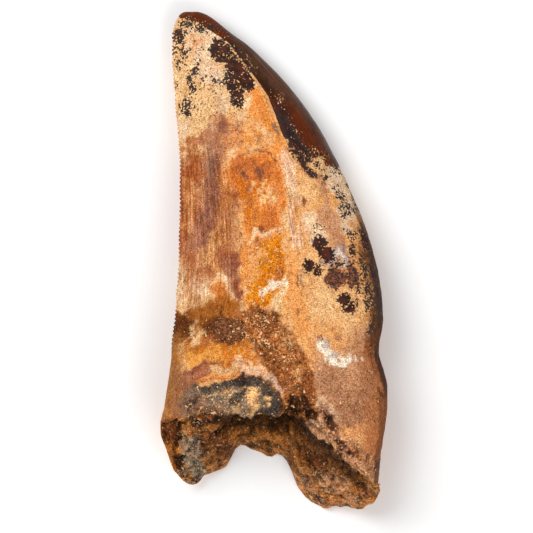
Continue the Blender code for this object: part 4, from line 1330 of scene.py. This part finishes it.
class Graph:
    """Short calls for the nodes of one material."""

    def __init__(self, name):
        self.material = bpy.data.materials.new(name)
        self.material.use_nodes = True
        self.tree = self.material.node_tree
        self.shader = self.tree.nodes["Principled BSDF"]

    def feed(self, socket, value):
        """Links a socket to an output, or gives it a plain number or colour."""
        if isinstance(value, bpy.types.NodeSocket):
            self.tree.links.new(value, socket)
        else:
            socket.default_value = value

    def node(self, kind, **settings):
        """Adds a node with the given settings."""
        made = self.tree.nodes.new(kind)
        for name, value in settings.items():
            setattr(made, name, value)
        return made

    def amount(self, name):
        """One of the mesh's amounts."""
        return self.node("ShaderNodeAttribute", attribute_name=name).outputs["Fac"]

    def vector(self, name):
        """One of the mesh's vectors."""
        return self.node("ShaderNodeAttribute", attribute_name=name).outputs["Vector"]

    def math(self, operation, first, second=0.0, third=0.0, clamp=False):
        """One math operation on up to three numbers or outputs."""
        made = self.node("ShaderNodeMath", operation=operation, use_clamp=clamp)
        for socket, value in zip(made.inputs, (first, second, third)):
            self.feed(socket, value)
        return made.outputs[0]

    def noise(self, place, size, detail, rough):
        """Noise from 0 to 1 with spots of the given size in the place's unit."""
        made = self.node("ShaderNodeTexNoise")
        self.feed(made.inputs["Vector"], place)
        made.inputs["Scale"].default_value = 1.0 / size
        made.inputs["Detail"].default_value = detail
        made.inputs["Roughness"].default_value = rough
        return made.outputs[0]

    def stretched(self, place, *sizes):
        """A place measured in other units along x, y and z, so that noise on it gets those sizes."""
        made = self.node("ShaderNodeVectorMath", operation="MULTIPLY")
        self.feed(made.inputs[0], place)
        made.inputs[1].default_value = [1 / size for size in sizes]
        return made.outputs[0]

    def shifted(self, place):
        """The same place somewhere else in the noise, for a pattern that goes its own way."""
        made = self.node("ShaderNodeVectorMath", operation="ADD")
        self.feed(made.inputs[0], place)
        made.inputs[1].default_value = (0.3, 0.1, 0.2)
        return made.outputs[0]

    def warped(self, place, size, reach):
        """A place pushed about by noise, so that what is drawn on it has crooked borders."""
        push = self.node("ShaderNodeTexNoise")
        self.feed(push.inputs["Vector"], place)
        push.inputs["Scale"].default_value = 1.0 / size
        push.inputs["Detail"].default_value = 1.0
        away = self.node("ShaderNodeVectorMath", operation="MULTIPLY_ADD")
        self.feed(away.inputs[0], push.outputs["Color"])
        away.inputs[1].default_value = (2 * reach,) * 3
        self.feed(away.inputs[2], place)
        return away.outputs[0]

    def cells(self, place, size):
        """Grains of about the given size: a random number for each, and the distance to its middle."""
        made = self.node("ShaderNodeTexVoronoi")
        self.feed(made.inputs["Vector"], place)
        made.inputs["Scale"].default_value = 1.0 / size
        split = self.node("ShaderNodeSeparateColor")
        self.feed(split.inputs[0], made.outputs["Color"])
        return split.outputs[0], made.outputs["Distance"]

    def mix(self, share, first, second, blend="MIX"):
        """A blend of two colours."""
        made = self.node("ShaderNodeMix", data_type="RGBA", blend_type=blend)
        self.feed(made.inputs["Factor"], share)
        self.feed(made.inputs["A"], first)
        self.feed(made.inputs["B"], second)
        return next(o for o in made.outputs if o.type == "RGBA")

    def toned(self, share, colour, factors):
        """A colour multiplied by three factors, as far as the share says."""
        return self.mix(share, colour, self.mix(1.0, colour, (*factors, 1.0), "MULTIPLY"))

    def varied(self, colour, pattern, strength, gain, dark, light):
        """A colour multiplied by one triple where a pattern is low and another where it is high."""
        low = self.math("MULTIPLY_ADD", pattern, -gain, 0.5 * gain - 0.2, clamp=True)
        high = self.math("MULTIPLY_ADD", pattern, gain, -0.5 * gain - 0.2, clamp=True)
        colour = self.toned(self.math("MULTIPLY", low, strength), colour, dark)
        return self.toned(self.math("MULTIPLY", high, strength), colour, light)

    def sown(self, density, pattern, sharpness, least, span):
        """Where a pattern is above a level that falls as the density rises, as crisp spots."""
        level = self.math("MULTIPLY_ADD", density, -span, least)
        over = self.math("SUBTRACT", pattern, level)
        spots = self.math("MULTIPLY_ADD", over, sharpness, 0.5, clamp=True)
        present = self.math("MULTIPLY", density, 6.0, clamp=True)
        return self.math("MULTIPLY", spots, present)


def rgba(name):
    """A colour of the palette for a shader."""
    return (*linear(PALETTE[name]), 1.0)


def patterns(g):
    """The mesh's amounts and the noises that the colour, the gloss and the bumps share."""
    p = SimpleNamespace()
    p.place = g.node("ShaderNodeTexCoord").outputs["Object"]
    p.warped = g.warped(p.place, 0.5 * MM, 0.22 * MM)
    p.broken = g.amount("broken")
    p.grit = g.amount("grit")
    p.streak = g.amount("streak")
    p.black = g.amount("black")
    p.fine = g.noise(p.place, 0.17 * MM, 2.0, 0.75)
    p.grain = g.noise(g.stretched(p.warped, 0.62 * MM, 0.95 * MM, 0.7 * MM), 1.0, 4.0, 0.6)
    p.patch = g.noise(p.warped, 2.3 * MM, 5.0, 0.62)
    p.streaks = g.noise(g.stretched(g.vector("growth"), 0.27, 5.0, 1.0), 1.0, 4.0, 0.84)
    p.small = g.noise(p.place, 0.29 * MM, 1.5, 0.5)
    p.middling = g.noise(p.place, 0.75 * MM, 2.0, 0.6)
    p.cells, p.cell_reach = g.cells(p.warped, 0.26 * MM)
    ragged = g.math("MULTIPLY_ADD", g.math("SUBTRACT", p.grain, 0.5), 1.6, g.amount("enamel"))
    p.enamel = g.math("MULTIPLY_ADD", g.math("SUBTRACT", ragged, 0.5), 9.0, 0.5, clamp=True)
    p.bare = g.math("MULTIPLY_ADD", p.enamel, -0.72, 1.0)
    p.on_break = g.math("MULTIPLY_ADD", p.broken, 8.0, -7.0, clamp=True)
    blots = g.math("MULTIPLY_ADD", p.small, 0.66, g.math("MULTIPLY", p.middling, 0.34))
    p.stain = g.sown(p.black, blots, 26.0, 0.68, 0.34)
    return p


def mottled(g, p):
    """The painted colour with patches, streaks along the growth, a mosaic of grains and speckle."""
    colour = g.mix(p.enamel, g.vector("tint"), g.vector("enamel_tint"))
    colour = g.varied(colour, p.patch, p.bare, 3.9, (0.74, 0.60, 0.46), (1.18, 1.24, 1.32))
    colour = g.varied(colour, p.grain, p.bare, 5.5, (0.62, 0.47, 0.35), (1.22, 1.30, 1.42))
    streaky = g.varied(colour, p.streaks, 1.0, 8.0, (0.44, 0.34, 0.29), (1.5, 1.66, 1.9))
    colour = g.mix(p.streak, colour, streaky)
    depth = g.math("MULTIPLY_ADD", p.grit, 0.5, 0.16)
    mosaic = g.math("MULTIPLY", g.math("SUBTRACT", p.cells, 0.5), depth)
    colour = g.mix(1.0, colour, g.math("MULTIPLY_ADD", mosaic, p.bare, 1.0), "MULTIPLY")
    return g.varied(colour, p.fine, p.bare, 7.5, (0.44, 0.34, 0.26), (1.55, 1.62, 1.72))


def veined(g, p, colour):
    """The colour with thin pale veins."""
    ridged = g.math("ABSOLUTE", g.math("SUBTRACT", g.noise(p.warped, 0.9 * MM, 3.0, 0.6), 0.5))
    vein = g.math("MULTIPLY_ADD", ridged, -34.0, 1.5, clamp=True)
    vein = g.math("MULTIPLY", vein, g.amount("vein"))
    return g.mix(g.math("MULTIPLY", vein, 0.8), colour, rgba("cream"))


def pitted(g, p, colour):
    """The colour with small dark pits, most of all where there is grit."""
    pits = g.math("MULTIPLY", g.math("MULTIPLY_ADD", p.grit, 0.75, 0.25), p.bare)
    dark_specks = g.sown(pits, g.noise(p.warped, 0.26 * MM, 2.0, 0.6), 14.0, 0.75, 0.26)
    return g.toned(g.math("MULTIPLY", dark_specks, 0.85), colour, (0.34, 0.25, 0.19))


def flecked(g, p, colour):
    """The colour with pale grains, coarser on the rock, and painted glints, partly grey-blue, on the broken
    end.
    """
    clumps = g.math("MULTIPLY_ADD", p.middling, 2.4, -0.2)
    density = g.math("MULTIPLY", g.amount("fleck"), clumps)
    density = g.math("MAXIMUM", density, g.math("MULTIPLY", p.bare, 0.2))
    only_rock = g.math("MULTIPLY_ADD", g.math("MULTIPLY", p.grit, 3.0, clamp=True), 0.28, -0.3)
    coarse = g.math("ADD", g.noise(p.place, 0.5 * MM, 1.0, 0.5), only_rock)
    sizes = g.math("MAXIMUM", g.noise(g.shifted(p.place), 0.25 * MM, 2.0, 0.6), coarse)
    fleck = g.sown(density, sizes, 18.0, 0.75, 0.26)
    # On the broken end part of the glints are grey-blue: painted highlights.
    cold = g.math("MULTIPLY_ADD", p.middling, 9.0, -4.8, clamp=True)
    cold = g.math("MULTIPLY", cold, p.on_break)
    warm = g.math("MULTIPLY_ADD", p.patch, 6.0, -2.7, clamp=True)
    grain_colour = g.mix(cold, g.mix(warm, rgba("cream"), rgba("orange_tan")), rgba("glint_grey_blue"))
    faint = g.math("MULTIPLY_ADD", p.on_break, -0.3, 0.85)
    return g.mix(g.math("MULTIPLY", fleck, faint), colour, grain_colour)


def stained(g, p, colour):
    """The colour with the black, grey and reddish mineral stains."""
    wide = g.noise(g.shifted(p.place), 1.3 * MM, 3.0, 0.6)
    reddish = g.math("MULTIPLY_ADD", wide, 5.0, -2.2, clamp=True)
    thick = g.math("MULTIPLY_ADD", p.black, 6.0, -3.8, clamp=True)
    stain_colour = g.mix(thick, rgba("grey_black"), g.mix(reddish, rgba("black"), rgba("red_black")))
    return g.mix(g.math("MULTIPLY", p.stain, 0.98), colour, stain_colour)


def roughness(g, p):
    """How dull the surface is: glossy on the enamel, and uneven on the dentine."""
    blend = g.node("ShaderNodeMix", data_type="FLOAT")
    g.feed(blend.inputs["Factor"], p.enamel)
    dull = g.math("MULTIPLY_ADD", p.broken, -0.2, 0.46)
    g.feed(blend.inputs["A"], g.math("MULTIPLY_ADD", p.grain, 0.4, dull))
    g.feed(blend.inputs["B"], g.math("MULTIPLY_ADD", p.streaks, 0.14, 0.20))
    return blend.outputs[0]


def bumps(g, p):
    """Fine bumps: grains on bare dentine, lines where it is streaked, and stains a little sunk."""
    height = g.math("MULTIPLY_ADD", p.grain, 1.2, g.math("MULTIPLY", p.cell_reach, -0.3))
    height = g.math("MULTIPLY_ADD", p.fine, 0.45, height)
    height = g.math("MULTIPLY", height, g.math("MULTIPLY_ADD", p.broken, 1.4, 0.8))
    height = g.math("MULTIPLY", height, p.bare)
    lined = g.math("MULTIPLY", p.streaks, g.math("MULTIPLY_ADD", p.streak, 0.7, 0.12))
    height = g.math("ADD", height, lined)
    height = g.math("MULTIPLY_ADD", p.stain, -0.10, height)
    bump = g.node("ShaderNodeBump")
    bump.inputs["Strength"].default_value = BUMP_STRENGTH
    bump.inputs["Distance"].default_value = BUMP_DEPTH * MM
    g.feed(bump.inputs["Height"], height)
    return bump.outputs["Normal"]


def fossil_material():
    """Grainy stained dentine that turns to glossy dark enamel where the mesh says so."""
    g = Graph("fossil_dentine_and_enamel")
    p = patterns(g)
    colour = mottled(g, p)
    for layer in (veined, pitted, flecked, stained):
        colour = layer(g, p, colour)
    g.feed(g.shader.inputs["Base Color"], colour)
    g.feed(g.shader.inputs["Roughness"], roughness(g, p))
    g.feed(g.shader.inputs["Normal"], bumps(g, p))
    g.shader.inputs["IOR"].default_value = IOR
    g.shader.inputs["Specular IOR Level"].default_value = SPECULAR
    return g.material


# Stage


def add_floor():
    """A plain pale floor."""
    bpy.ops.mesh.primitive_plane_add(size=FLOOR_SIZE, location=(0, 0, FLOOR_Z))
    floor = bpy.context.object
    floor.name = "floor"
    g = Graph("plain_floor")
    g.shader.inputs["Base Color"].default_value = (FLOOR_WHITE, FLOOR_WHITE, FLOOR_WHITE, 1.0)
    g.shader.inputs["Roughness"].default_value = 0.9
    floor.data.materials.append(g.material)


def add_light(name, place, watts):
    """A soft square lamp that points at the tooth."""
    lamp = bpy.data.lights.new(name, "AREA")
    lamp.size = LAMP_SIZE
    lamp.energy = watts
    made = bpy.data.objects.new(name, lamp)
    made.location = place
    made.rotation_euler = (-made.location).to_track_quat("-Z", "Y").to_euler()
    bpy.context.scene.collection.objects.link(made)


def add_stage():
    """The floor, the even white surroundings and the lamps."""
    add_floor()
    world = bpy.data.worlds.new("studio")
    world.use_nodes = True
    sky = world.node_tree.nodes["Background"]
    sky.inputs["Color"].default_value = (1.0, 1.0, 1.0, 1.0)
    sky.inputs["Strength"].default_value = SKY_STRENGTH
    scene = bpy.context.scene
    scene.world = world
    for name, (place, watts) in LAMPS.items():
        add_light(name, place, watts)
    scene.view_settings.view_transform = "Standard"


def add_camera():
    """A long lens straight above, framed as the photograph is."""
    data = bpy.data.cameras.new("camera")
    data.sensor_width = SENSOR_WIDTH
    data.lens = SENSOR_WIDTH * (CAMERA_HEIGHT - TARGET_HEIGHT) / FRAME_WIDTH
    data.clip_start = 0.05
    data.clip_end = 10.0
    made = bpy.data.objects.new("camera", data)
    made.location = (FRAME_X * MM, FRAME_Y * MM, CAMERA_HEIGHT * MM)
    bpy.context.scene.collection.objects.link(made)
    bpy.context.scene.camera = made


def main():
    """Builds the tooth with its looks, the stage and the camera."""
    made, tooth = tooth_mesh()
    coat = Coat(tooth)
    for paint in PAINTERS:
        paint(coat)
    add_relief(coat)
    apply_relief(made, coat)
    store(made, coat)
    made.data.materials.append(fossil_material())
    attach(made, "root")
    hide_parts("tooth")
    add_stage()
    add_camera()


main()
